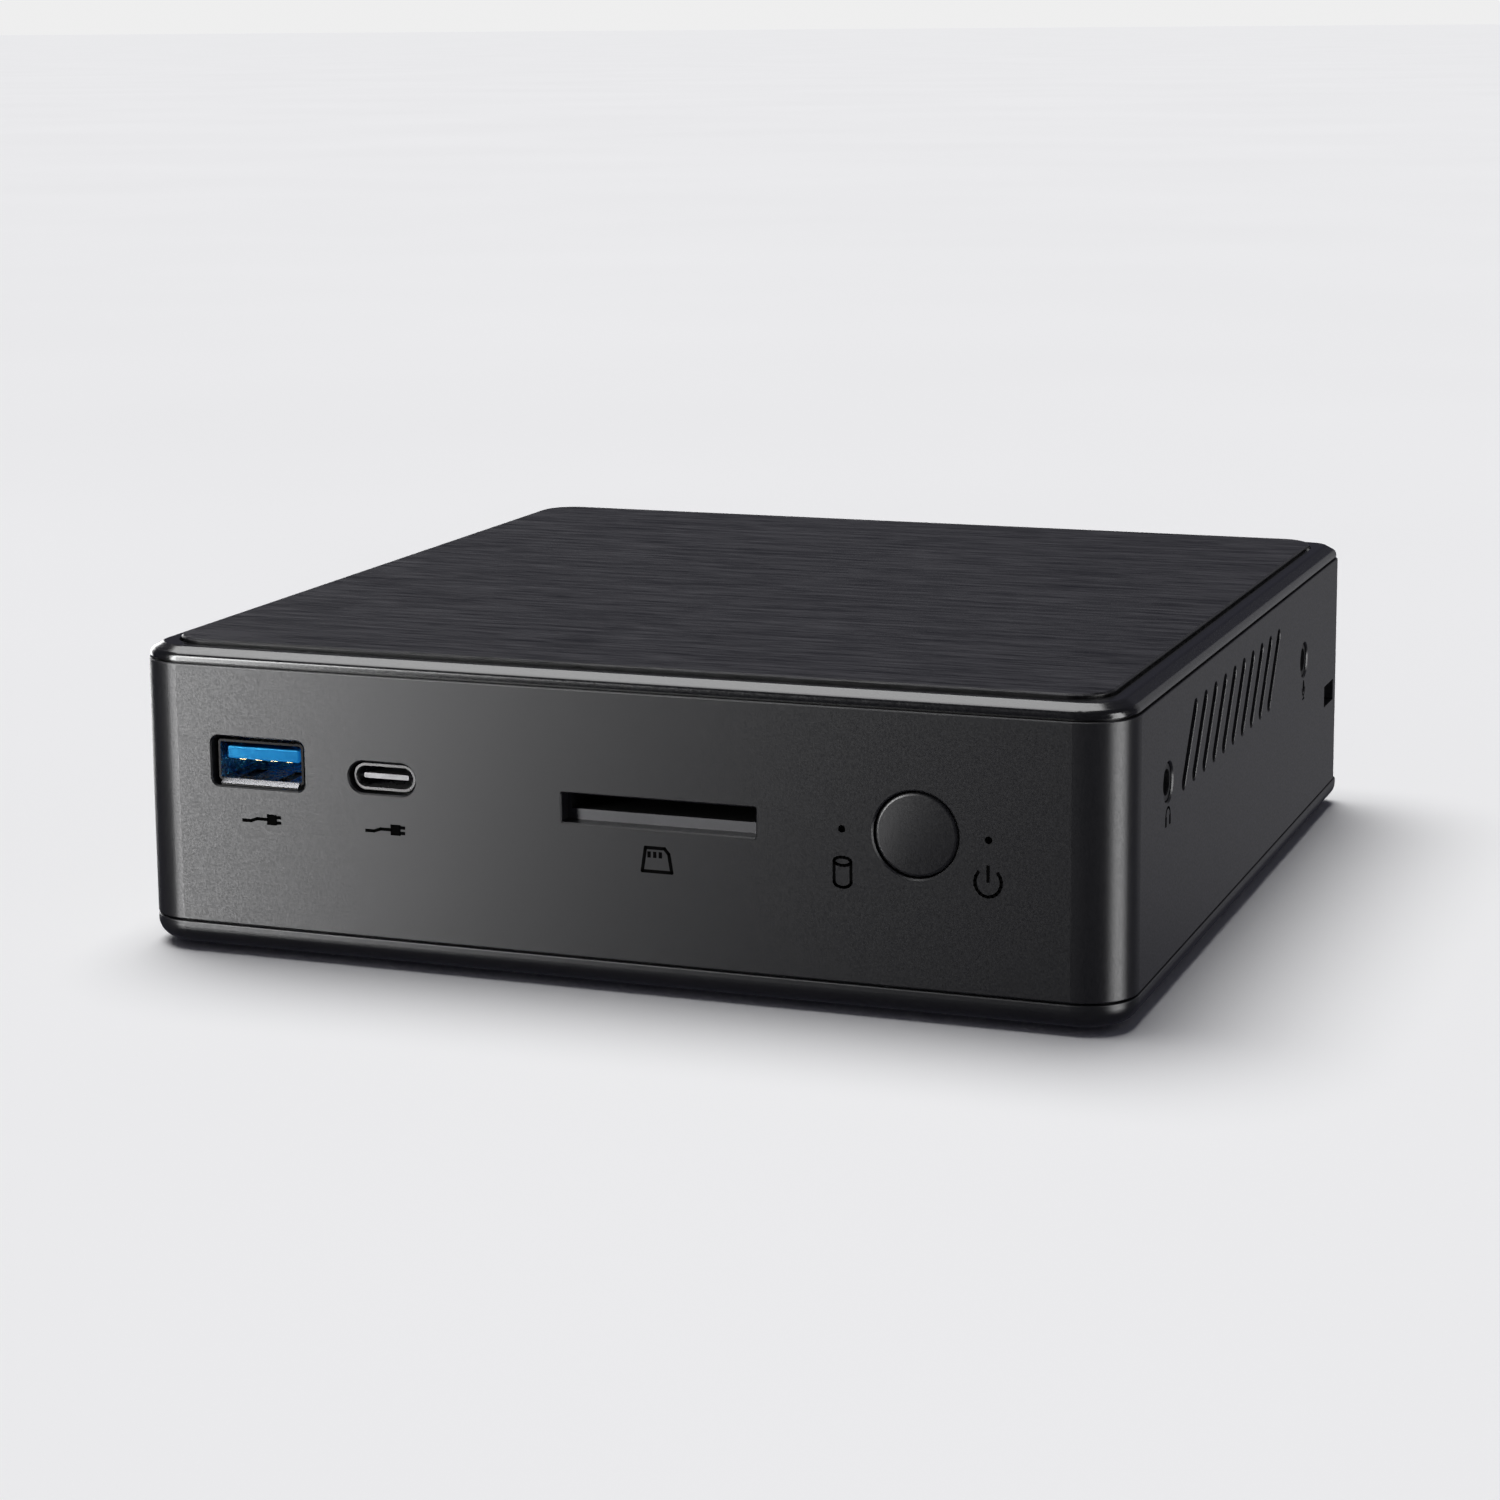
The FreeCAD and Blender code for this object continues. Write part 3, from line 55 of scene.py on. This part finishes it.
def coords(tree, scale):
    """Object coordinates in metres, stretched by scale."""
    where = tree.nodes.new("ShaderNodeTexCoord")
    mapping = tree.nodes.new("ShaderNodeMapping")
    mapping.inputs["Scale"].default_value = scale
    tree.links.new(where.outputs["Object"], mapping.inputs["Vector"])
    return mapping.outputs["Vector"]


def noise(tree, scale, detail=2.0, rough=0.5):
    """Noise between 0 and 1 with the given cells per metre along X, Y and Z."""
    tex = tree.nodes.new("ShaderNodeTexNoise")
    tex.inputs["Scale"].default_value = 1.0
    tex.inputs["Detail"].default_value = detail
    tex.inputs["Roughness"].default_value = rough
    tree.links.new(coords(tree, scale), tex.inputs["Vector"])
    return tex.outputs["Fac"]


def spread(tree, source, low, high, start=0.3, end=0.7):
    """Maps start..end of a value to low..high."""
    remap = tree.nodes.new("ShaderNodeMapRange")
    remap.inputs["From Min"].default_value = start
    remap.inputs["From Max"].default_value = end
    remap.inputs["To Min"].default_value = low
    remap.inputs["To Max"].default_value = high
    tree.links.new(source, remap.inputs["Value"])
    return remap.outputs["Result"]


def tint(tree, source, dark, light):
    """Colour that runs from dark to light with a value."""
    ramp = tree.nodes.new("ShaderNodeValToRGB")
    ramp.color_ramp.elements[0].position = 0.3
    ramp.color_ramp.elements[1].position = 0.7
    ramp.color_ramp.elements[0].color = (*dark, 1)
    ramp.color_ramp.elements[1].color = (*light, 1)
    tree.links.new(source, ramp.inputs["Fac"])
    return ramp.outputs["Color"]


def bump(tree, shader, source, strength, depth):
    """Fine relief from a value, depth in metres."""
    node = tree.nodes.new("ShaderNodeBump")
    node.inputs["Strength"].default_value = strength
    node.inputs["Distance"].default_value = depth
    tree.links.new(source, node.inputs["Height"])
    tree.links.new(node.outputs["Normal"], shader.inputs["Normal"])


def shade(color, factor):
    """A colour made lighter or darker."""
    return tuple(min(c * factor, 1.0) for c in color)


def mixed_color(tree, factor, first, second):
    """Colour that goes from the first to the second; each is a socket or a plain colour."""
    mix = tree.nodes.new("ShaderNodeMix")
    mix.data_type = "RGBA"
    tree.links.new(factor, mix.inputs["Factor"])
    for socket, value in ((mix.inputs["A"], first), (mix.inputs["B"], second)):
        if isinstance(value, tuple):
            socket.default_value = (*value, 1)
        else:
            tree.links.new(value, socket)
    return mix.outputs["Result"]


def grained(name, color, rough, metallic=0.0, grain=2500.0, vary=0.12, relief=0.25, specular=0.5,
            stretch=(1, 1, 1), sheen=(1, 1, 1)):
    """Moulded or stamped finish: broad tone variation, fine grain in roughness and relief."""
    mat, tree, shader = new_material(name)
    broad = noise(tree, BROAD_CELLS, 3.0)
    fine = noise(tree, tuple(grain * s for s in stretch), 2.0, 0.6)
    tone = tint(tree, broad, shade(color, 1 - vary), shade(color, 1 + vary))
    tree.links.new(tone, shader.inputs["Base Color"])
    tree.links.new(spread(tree, fine, rough - 0.05, rough + 0.05), shader.inputs["Roughness"])
    shader.inputs["Metallic"].default_value = metallic
    shader.inputs["Specular IOR Level"].default_value = specular
    shader.inputs["Specular Tint"].default_value = (*sheen, 1)
    bump(tree, shader, fine, relief, GRAIN_DEPTH)
    return mat


def plated_painted_front_shade(name, color, rough, rim):
    """Bright sheet steel whose cut edges, the faces that look forward, are painted darker: painted shade in
    the base colour.
    """
    mat = grained(name, color, rough, metallic=1.0, grain=1500, vary=0.05, relief=0.05)
    tree = mat.node_tree
    shader = tree.nodes["Principled BSDF"]
    body = shader.inputs["Base Color"].links[0].from_socket
    geometry = tree.nodes.new("ShaderNodeNewGeometry")
    forward = tree.nodes.new("ShaderNodeVectorMath")
    forward.operation = "DOT_PRODUCT"
    forward.inputs[1].default_value = (0, -1, 0)
    tree.links.new(geometry.outputs["Normal"], forward.inputs[0])
    # faces that look forward are mixed towards the rim tone: painted shade, not a different finish
    front_shade_mask = spread(tree, forward.outputs["Value"], 0.0, 1.0, 0.85, 0.95)
    tree.links.new(mixed_color(tree, front_shade_mask, body, (rim, rim, rim)), shader.inputs["Base Color"])
    return mat


def weighted(tree, value, weight, rest=None):
    """A value times its weight, plus the rest when there is one."""
    node = tree.nodes.new("ShaderNodeMath")
    node.operation = "MULTIPLY_ADD" if rest else "MULTIPLY"
    node.inputs[1].default_value = weight
    tree.links.new(value, node.inputs[0])
    if rest:
        tree.links.new(rest, node.inputs[2])
    return node.outputs[0]


HAIR_SHARE = 0.58                # of the streaks' tone; the broader bands make up the rest
STREAK_DEPTH = 0.07 * MM


def brushed(name, color, rough):
    """Dark anodised plate with fine streaks that run from left to right."""
    mat, tree, shader = new_material(name)
    hair = noise(tree, (130, 2000, 1), 4.0, 0.7)
    band = noise(tree, (38, 640, 1), 3.0, 0.6)
    both = weighted(tree, band, 1 - HAIR_SHARE, weighted(tree, hair, HAIR_SHARE))
    streaks = spread(tree, both, 0.0, 1.0, 0.22, 0.78)
    tree.links.new(tint(tree, streaks, shade(color, 0.1), shade(color, 2.6)), shader.inputs["Base Color"])
    tree.links.new(spread(tree, streaks, rough - 0.1, rough + 0.12), shader.inputs["Roughness"])
    shader.inputs["Specular IOR Level"].default_value = 0.3
    bump(tree, shader, streaks, 0.9, STREAK_DEPTH)
    return mat


def board_finish(name):
    """Green solder mask with fine copper tracks under it."""
    mat, tree, shader = new_material(name)
    tracks = tree.nodes.new("ShaderNodeTexBrick")
    tracks.inputs["Scale"].default_value = 1.0
    tracks.inputs["Mortar Size"].default_value = 0.12
    tracks.inputs["Color1"].default_value = (0.010, 0.070, 0.038, 1)
    tracks.inputs["Color2"].default_value = (0.013, 0.085, 0.048, 1)
    tracks.inputs["Mortar"].default_value = (0.030, 0.150, 0.080, 1)
    tree.links.new(coords(tree, (420, 700, 1)), tracks.inputs["Vector"])
    tree.links.new(tracks.outputs["Color"], shader.inputs["Base Color"])
    fine = noise(tree, (900, 900, 900))
    tree.links.new(spread(tree, fine, 0.28, 0.42), shader.inputs["Roughness"])
    bump(tree, shader, tracks.outputs["Fac"], 0.2, 0.02 * MM)
    return mat


def mesh_screen(name):
    """Black screen with a fine round perforation drawn into its relief, and into its colour as painted shade:
    the holes are darker.
    """
    mat, tree, shader = new_material(name)
    cells = tree.nodes.new("ShaderNodeTexVoronoi")
    cells.inputs["Scale"].default_value = 1.0
    cells.inputs["Randomness"].default_value = 0.0
    tree.links.new(coords(tree, (900, 900, 900)), cells.inputs["Vector"])
    # the cell centres, the holes, are painted darker: painted shade for the dark seen through them
    tone = spread(tree, cells.outputs["Distance"], 0.0, 1.0, 0.25, 0.45)
    tree.links.new(tint(tree, tone, (0.002, 0.002, 0.002), (0.02, 0.02, 0.021)), shader.inputs["Base Color"])
    shader.inputs["Roughness"].default_value = 0.6
    bump(tree, shader, tone, 0.5, 0.1 * MM)
    return mat


# ---- finishes of the CAD pieces -----------------------------------------------------------------
BLACK = (0.0125, 0.0125, 0.0150)
STEEL = (0.62, 0.62, 0.63)
shell_mat = grained("shell_satin", BLACK, 0.37, grain=3200, vary=0.06, relief=0.10, specular=0.5)
lid_mat = grained("lid_gloss", (0.010, 0.010, 0.011), 0.2, grain=2500, vary=0.08, relief=0.04, specular=0.5)
key_mat = grained("key_satin", (0.0140, 0.0140, 0.0165), 0.38, grain=3200, vary=0.06, relief=0.10,
                  specular=0.45)
plate_mat = brushed("plate_brushed", (0.0112, 0.0108, 0.0132), 0.40)
panel_mat = grained("panel_powder", (0.016, 0.016, 0.017), 0.55, grain=5000, vary=0.1, relief=0.3)
screen_mat = mesh_screen("screen_mesh")
bright_mat = grained("steel_bright", STEEL, 0.26, metallic=1.0, grain=1500, vary=0.05, relief=0.05)
frame_mat = grained("steel_grey", (0.085, 0.085, 0.088), 0.5, metallic=1.0, grain=1500, vary=0.1, relief=0.05)
tongue_mat = grained("tongue_grey", (0.16, 0.16, 0.163), 0.4, metallic=1.0, grain=1500, vary=0.1, relief=0.05)
# the forward faces of both front socket shells carry painted shade, near black on the USB-A shell and grey on
# the USB-C shell
usb_a_mat = plated_painted_front_shade("steel_front_painted_shade_dark", STEEL, 0.26, 0.006)
usb_c_mat = plated_painted_front_shade("steel_front_painted_shade_grey", STEEL, 0.30, 0.075)
zinc_mat = grained("steel_zinc", (0.50, 0.51, 0.52), 0.38, metallic=1.0, grain=1800, vary=0.15, relief=0.1)
pcb_mat = board_finish("board_green")
copper_mat = grained("copper_bare", (0.72, 0.36, 0.22), 0.28, metallic=1.0, vary=0.1, relief=0.08,
                     stretch=(0.1, 1, 1))
fin_mat = grained("fin_aluminium", (0.72, 0.73, 0.74), 0.32, metallic=1.0, vary=0.05, relief=0.05)
drive_mat = grained("drive_casting", (0.48, 0.49, 0.50), 0.45, metallic=1.0, grain=4000, vary=0.06,
                    relief=0.2)
fan_mat = grained("fan_plastic", (0.018, 0.018, 0.019), 0.5, vary=0.1, relief=0.15)
blue_mat = grained("tongue_blue", (0.015, 0.30, 0.85), 0.22, vary=0.1, relief=0.03, specular=0.8,
                   sheen=(0.05, 0.62, 1.0))
gold_mat = grained("contact_gold", (0.85, 0.60, 0.25), 0.25, metallic=1.0, vary=0.08, relief=0.05)
black_mat = grained("connector_black", (0.014, 0.014, 0.015), 0.45, vary=0.1, relief=0.15)
can_mat = grained("can_aluminium", (0.66, 0.66, 0.68), 0.3, metallic=1.0, vary=0.05, relief=0.05,
                  stretch=(1, 1, 0.1))
lens_mat = grained("lamp_lens", (0.006, 0.006, 0.007), 0.3, vary=0.05, relief=0.03, specular=0.2)
ribbon_mat = grained("ribbon_white", (0.70, 0.71, 0.72), 0.5, vary=0.08, relief=0.2, stretch=(1, 3, 0.1))
rubber_mat = grained("foot_rubber", (0.015, 0.015, 0.015), 0.8, grain=5000, vary=0.15, relief=0.5,
                     specular=0.3)
screw_mat = grained("screw_oxide", (0.05, 0.05, 0.052), 0.35, metallic=1.0, grain=3000, vary=0.15, relief=0.1)

FINISH = {
    "chassis_shell": shell_mat,
    "top_cover": lid_mat,
    "top_plate": plate_mat,
    "bottom_cover": shell_mat,
    "power_button": key_mat,
    "rear_panel": panel_mat,
    "vent_screens": screen_mat,
    "front_usb_a_tongue": blue_mat,
    "drive_cable": ribbon_mat,
    "storage_drive": drive_mat,
    "fin_stack": fin_mat,
    "capacitors": can_mat,
    "rubber_feet": rubber_mat,
}
FAMILIES = [
    (frame_mat, ["card_reader_cover"]),
    (usb_a_mat, ["front_usb_a_shell"]),
    (usb_c_mat, ["front_usb_c_shell"]),
    (tongue_mat, ["front_usb_c_tongue"]),
    (bright_mat, ["hdmi_shell", "display_shell", "rear_usb_shell", "lan_socket"]),
    (zinc_mat, ["lock_anchor", "drive_bracket", "fan_cover", "coin_cell"]),
    (pcb_mat, ["mainboard", "memory_modules", "solid_state_stick", "radio_card", "cpu_package"]),
    (copper_mat, ["cold_plate", "heat_pipes"]),
    (fan_mat, ["fan_housing", "fan_rotor"]),
    (gold_mat, ["front_usb_a_contacts", "card_contacts", "lan_contacts", "power_pin"]),
    (lens_mat, ["led_pipes", "led_chips"]),
    (screw_mat, ["bottom_screws", "board_screws"]),
]
for family, members in FAMILIES:
    FINISH.update({name: family for name in members})


def dress(obj, mat):
    """Gives an object one material."""
    obj.data.materials.clear()
    obj.data.materials.append(mat)


for name, obj in nodes.items():
    dress(obj, FINISH.get(name, black_mat))


# ---- printed symbols ----------------------------------------------------------------------------
INK = grained("ink_black", (0.0015, 0.0015, 0.0015), 0.8, vary=0.2, relief=0.1, specular=0.03)
INK_PROUD = 0.03 * MM
INK_SUNK = 0.006 * MM
shell_low, shell_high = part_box("chassis_shell")
FRONT_Y = shell_low[1]
RIGHT_X = shell_high[0]


def flat_piece(name, polygons, place, normal):
    """Thin printed mark: polygons in mm round a place, on the face with that outward normal."""
    across = Vector((1, 0, 0)) if abs(normal.y) > 0.5 else Vector((0, 1, 0))
    verts, faces = [], []
    for poly in polygons:
        base = len(verts)
        n = len(poly)
        for lift in (-INK_SUNK, INK_PROUD):
            verts += [place + across * u * MM + Vector((0, 0, w * MM)) + normal * lift for u, w in poly]
        faces.append([base + i for i in range(n)])
        faces.append([base + n + i for i in reversed(range(n))])
        faces += [[base + i, base + (i + 1) % n, base + n + (i + 1) % n, base + n + i] for i in range(n)]
    mesh = bpy.data.meshes.new(name)
    mesh.from_pydata(verts, [], faces)
    mesh.update()
    obj = bpy.data.objects.new(name, mesh)
    bpy.context.collection.objects.link(obj)
    make_normals_point_out(mesh)
    dress(obj, INK)
    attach(obj, "case")


def make_normals_point_out(mesh):
    """Turns every closed part's faces outwards."""
    work = bmesh.new()
    work.from_mesh(mesh)
    bmesh.ops.recalc_face_normals(work, faces=work.faces)
    work.to_mesh(mesh)
    work.free()


STROKE_OVERLAP = 0.6             # how far each quad runs past its ends, in half widths


def stroke(points, width, closed=False):
    """Quads along a polyline, width in mm, with square overlapping ends."""
    quads = []
    ends = points[1:] + points[:1] if closed else points[1:]
    for (x0, y0), (x1, y1) in zip(points, ends):
        d = math.hypot(x1 - x0, y1 - y0)
        ux, uy = (x1 - x0) / d, (y1 - y0) / d
        h = width / 2
        past = h * STROKE_OVERLAP
        x0, y0, x1, y1 = x0 - ux * past, y0 - uy * past, x1 + ux * past, y1 + uy * past
        quads.append([(x0 - uy * h, y0 + ux * h), (x1 - uy * h, y1 + ux * h), (x1 + uy * h, y1 - ux * h),
                      (x0 + uy * h, y0 - ux * h)])
    return quads


def arc(cx, cy, rx, ry, start, end, steps=14):
    """Points on an ellipse between two angles in degrees."""
    angles = [math.radians(start + (end - start) * i / steps) for i in range(steps + 1)]
    return [(cx + rx * math.cos(a), cy + ry * math.sin(a)) for a in angles]


def on_front(x, z):
    """Place on the front face, in mm."""
    return Vector((x * MM, FRONT_Y, z * MM))


def on_right(y, z):
    """Place on the right side, in mm."""
    return Vector((RIGHT_X, y * MM, z * MM))


TO_FRONT = Vector((0, -1, 0))
TO_RIGHT = Vector((1, 0, 0))
LINE = 0.46                      # widths of the marks' strokes, mm
ROUND_LINE = 0.42
THIN_LINE = 0.40
PHONES_LINE = 0.30
MIC_LINE = 0.26
CASE_Z = 0.8                     # underside of the case over the floor, mm

plug = [[(0.9, -0.75), (2.4, -0.75), (2.4, 0.75), (0.9, 0.75)]]
plug += stroke([(-2.8, -0.35), (-1.6, -0.35), (-0.6, 0.0), (0.9, 0.0)], LINE)
plug += stroke([(2.4, 0.38), (2.95, 0.38)], LINE) + stroke([(2.4, -0.38), (2.95, -0.38)], LINE)
for name, x in (("mark_plug_a", -51.2), ("mark_plug_c", -32.3)):
    flat_piece(name, plug, on_front(x, CASE_Z + 19.0), TO_FRONT)

card = stroke([(-2.1, -1.6), (-1.6, 1.6), (1.1, 1.6), (1.7, 0.9), (2.1, -1.6)], LINE, closed=True)
for dx in (-1.1, -0.3, 0.5):
    card += stroke([(dx, 0.4), (dx, 0.95)], LINE)
flat_piece("mark_card", card, on_front(7.55, CASE_Z + 17.9), TO_FRONT)

disk = stroke(arc(0, 1.4, 1.15, 0.55, 0, 360), THIN_LINE)
disk += stroke([(-1.15, 1.4), (-1.15, -1.3)], THIN_LINE) + stroke([(1.15, 1.4), (1.15, -1.3)], THIN_LINE)
disk += stroke(arc(0, -1.3, 1.15, 0.75, 180, 360), THIN_LINE)
flat_piece("mark_disk", disk, on_front(33.4, CASE_Z + 18.4), TO_FRONT)

power = stroke(arc(0, 0, 1.75, 1.9, 137, 403), ROUND_LINE) + stroke([(0, 2.1), (0, 0.1)], ROUND_LINE)
flat_piece("mark_power", power, on_front(52.95, CASE_Z + 18.6), TO_FRONT)

phones = stroke(arc(0, 0, 1.2, 1.25, 0, 180), PHONES_LINE)
for low_u, high_u in ((-1.45, -0.75), (0.75, 1.45)):
    phones.append([(low_u, -1.2), (high_u, -1.2), (high_u, 0.1), (low_u, 0.1)])
flat_piece("mark_headphones", phones, on_right(-49.2, CASE_Z + 23.6), TO_RIGHT)

mic = [arc(0, 0.5, 0.55, 0.95, 0, 350, 12)]
mic += stroke(arc(0, 0.4, 1.0, 1.3, 190, 350), MIC_LINE) + stroke([(0, -0.9), (0, -1.5)], MIC_LINE)
mic += stroke([(-0.6, -1.5), (0.6, -1.5)], MIC_LINE)
flat_piece("mark_microphone", mic, on_right(40.2, CASE_Z + 23.6), TO_RIGHT)


# ---- studio -------------------------------------------------------------------------------------
FLOOR_HALF = 30.0
FLOOR_CELLS = (3, 3, 3)
SEEN = (0.86, 0.86, 0.86)
FELT = (0.046, 0.046, 0.064)


def floor_plane():
    """Plain pale floor under the feet; the object's gloss doesn't pick it up."""
    far = FLOOR_HALF
    mesh = bpy.data.meshes.new("floor")
    mesh.from_pydata([(-far, -far, 0), (far, -far, 0), (far, far, 0), (-far, far, 0)], [], [(0, 1, 2, 3)])
    obj = bpy.data.objects.new("floor", mesh)
    bpy.context.collection.objects.link(obj)
    mat, tree, shader = new_material("floor_pale")
    fine = noise(tree, FLOOR_CELLS)
    tree.links.new(tint(tree, fine, (0.88, 0.88, 0.88), (0.90, 0.90, 0.90)), shader.inputs["Base Color"])
    shader.inputs["Roughness"].default_value = 1.0
    shader.inputs["Specular IOR Level"].default_value = 0.0
    dress(obj, mat)
    obj.visible_glossy = False


def soft_box(name, place, target, width, height, watts):
    """Rectangular soft light that faces a point; it makes sheen and leaves the floor's tone alone."""
    light = bpy.data.lights.new(name, "AREA")
    light.shape = "RECTANGLE"
    light.size = width
    light.size_y = height
    light.energy = watts
    obj = bpy.data.objects.new(name, light)
    obj.location = place
    obj.rotation_euler = (Vector(target) - Vector(place)).to_track_quat("-Z", "Y").to_euler()
    obj.visible_diffuse = False
    bpy.context.collection.objects.link(obj)


def overhead(strength, spread_degrees, toward):
    """Very wide light from above, even over the whole floor."""
    light = bpy.data.lights.new("overhead", "SUN")
    light.energy = strength
    light.angle = math.radians(spread_degrees)
    obj = bpy.data.objects.new("overhead", light)
    obj.rotation_euler = Vector(toward).to_track_quat("Z", "Y").to_euler()
    bpy.context.collection.objects.link(obj)


def room(seen, felt):
    """Background: the grey that is seen, and the dimmer one that lights and reflects."""
    world = bpy.data.worlds.new("room")
    bpy.context.scene.world = world
    world.use_nodes = True
    tree = world.node_tree
    back = tree.nodes["Background"]
    path = tree.nodes.new("ShaderNodeLightPath")
    tree.links.new(mixed_color(tree, path.outputs["Is Camera Ray"], felt, seen), back.inputs["Color"])


# each soft box: place, the point it faces, width, height (metres) and watts
floor_plane()
overhead(2.9, 50, (-0.25, 0.20, 0.95))
soft_box("front_left", (-0.685, -0.896, 0.10), (-0.03, -0.07, 0.02), 0.27, 1.2, 28.0)
soft_box("right_fill", (0.90, -0.13, 0.05), (0.07, -0.05, 0.02), 0.45, 0.9, 10.0)
soft_box("right_back", (0.50, 1.10, 0.10), (0.07, 0.0, 0.02), 0.7, 0.9, 0.5)
soft_box("back_left", (-0.95, 0.75, 0.06), (0.0, 0.07, 0.02), 0.5, 0.6, 4.0)
room(SEEN, FELT)


# ---- camera -------------------------------------------------------------------------------------
CAMERA_AT = Vector((0.1714, -0.4725, 0.1282))
YAW, PITCH, ROLL = math.radians(20.538), math.radians(9.795), math.radians(0.508)
LENS = 81.17
SENSOR = 36.0
FRAME_SHIFT = -0.1               # share of the frame's width


def camera():
    """Camera at the photograph's viewing angle."""
    data = bpy.data.cameras.new("camera")
    data.lens = LENS
    data.sensor_width = SENSOR
    data.shift_y = FRAME_SHIFT
    data.clip_end = 100.0
    ahead = Vector((-math.sin(YAW) * math.cos(PITCH), math.cos(YAW) * math.cos(PITCH), -math.sin(PITCH)))
    level = Vector((math.cos(YAW), math.sin(YAW), 0))
    down = ahead.cross(level)
    right = level * math.cos(ROLL) + down * math.sin(ROLL)
    below = down * math.cos(ROLL) - level * math.sin(ROLL)
    obj = bpy.data.objects.new("camera", data)
    basis = Matrix((right, -below, -ahead)).transposed()
    obj.matrix_world = Matrix.Translation(CAMERA_AT) @ basis.to_4x4()
    bpy.context.collection.objects.link(obj)
    bpy.context.scene.camera = obj


camera()
bpy.context.scene.view_settings.view_transform = "Standard"
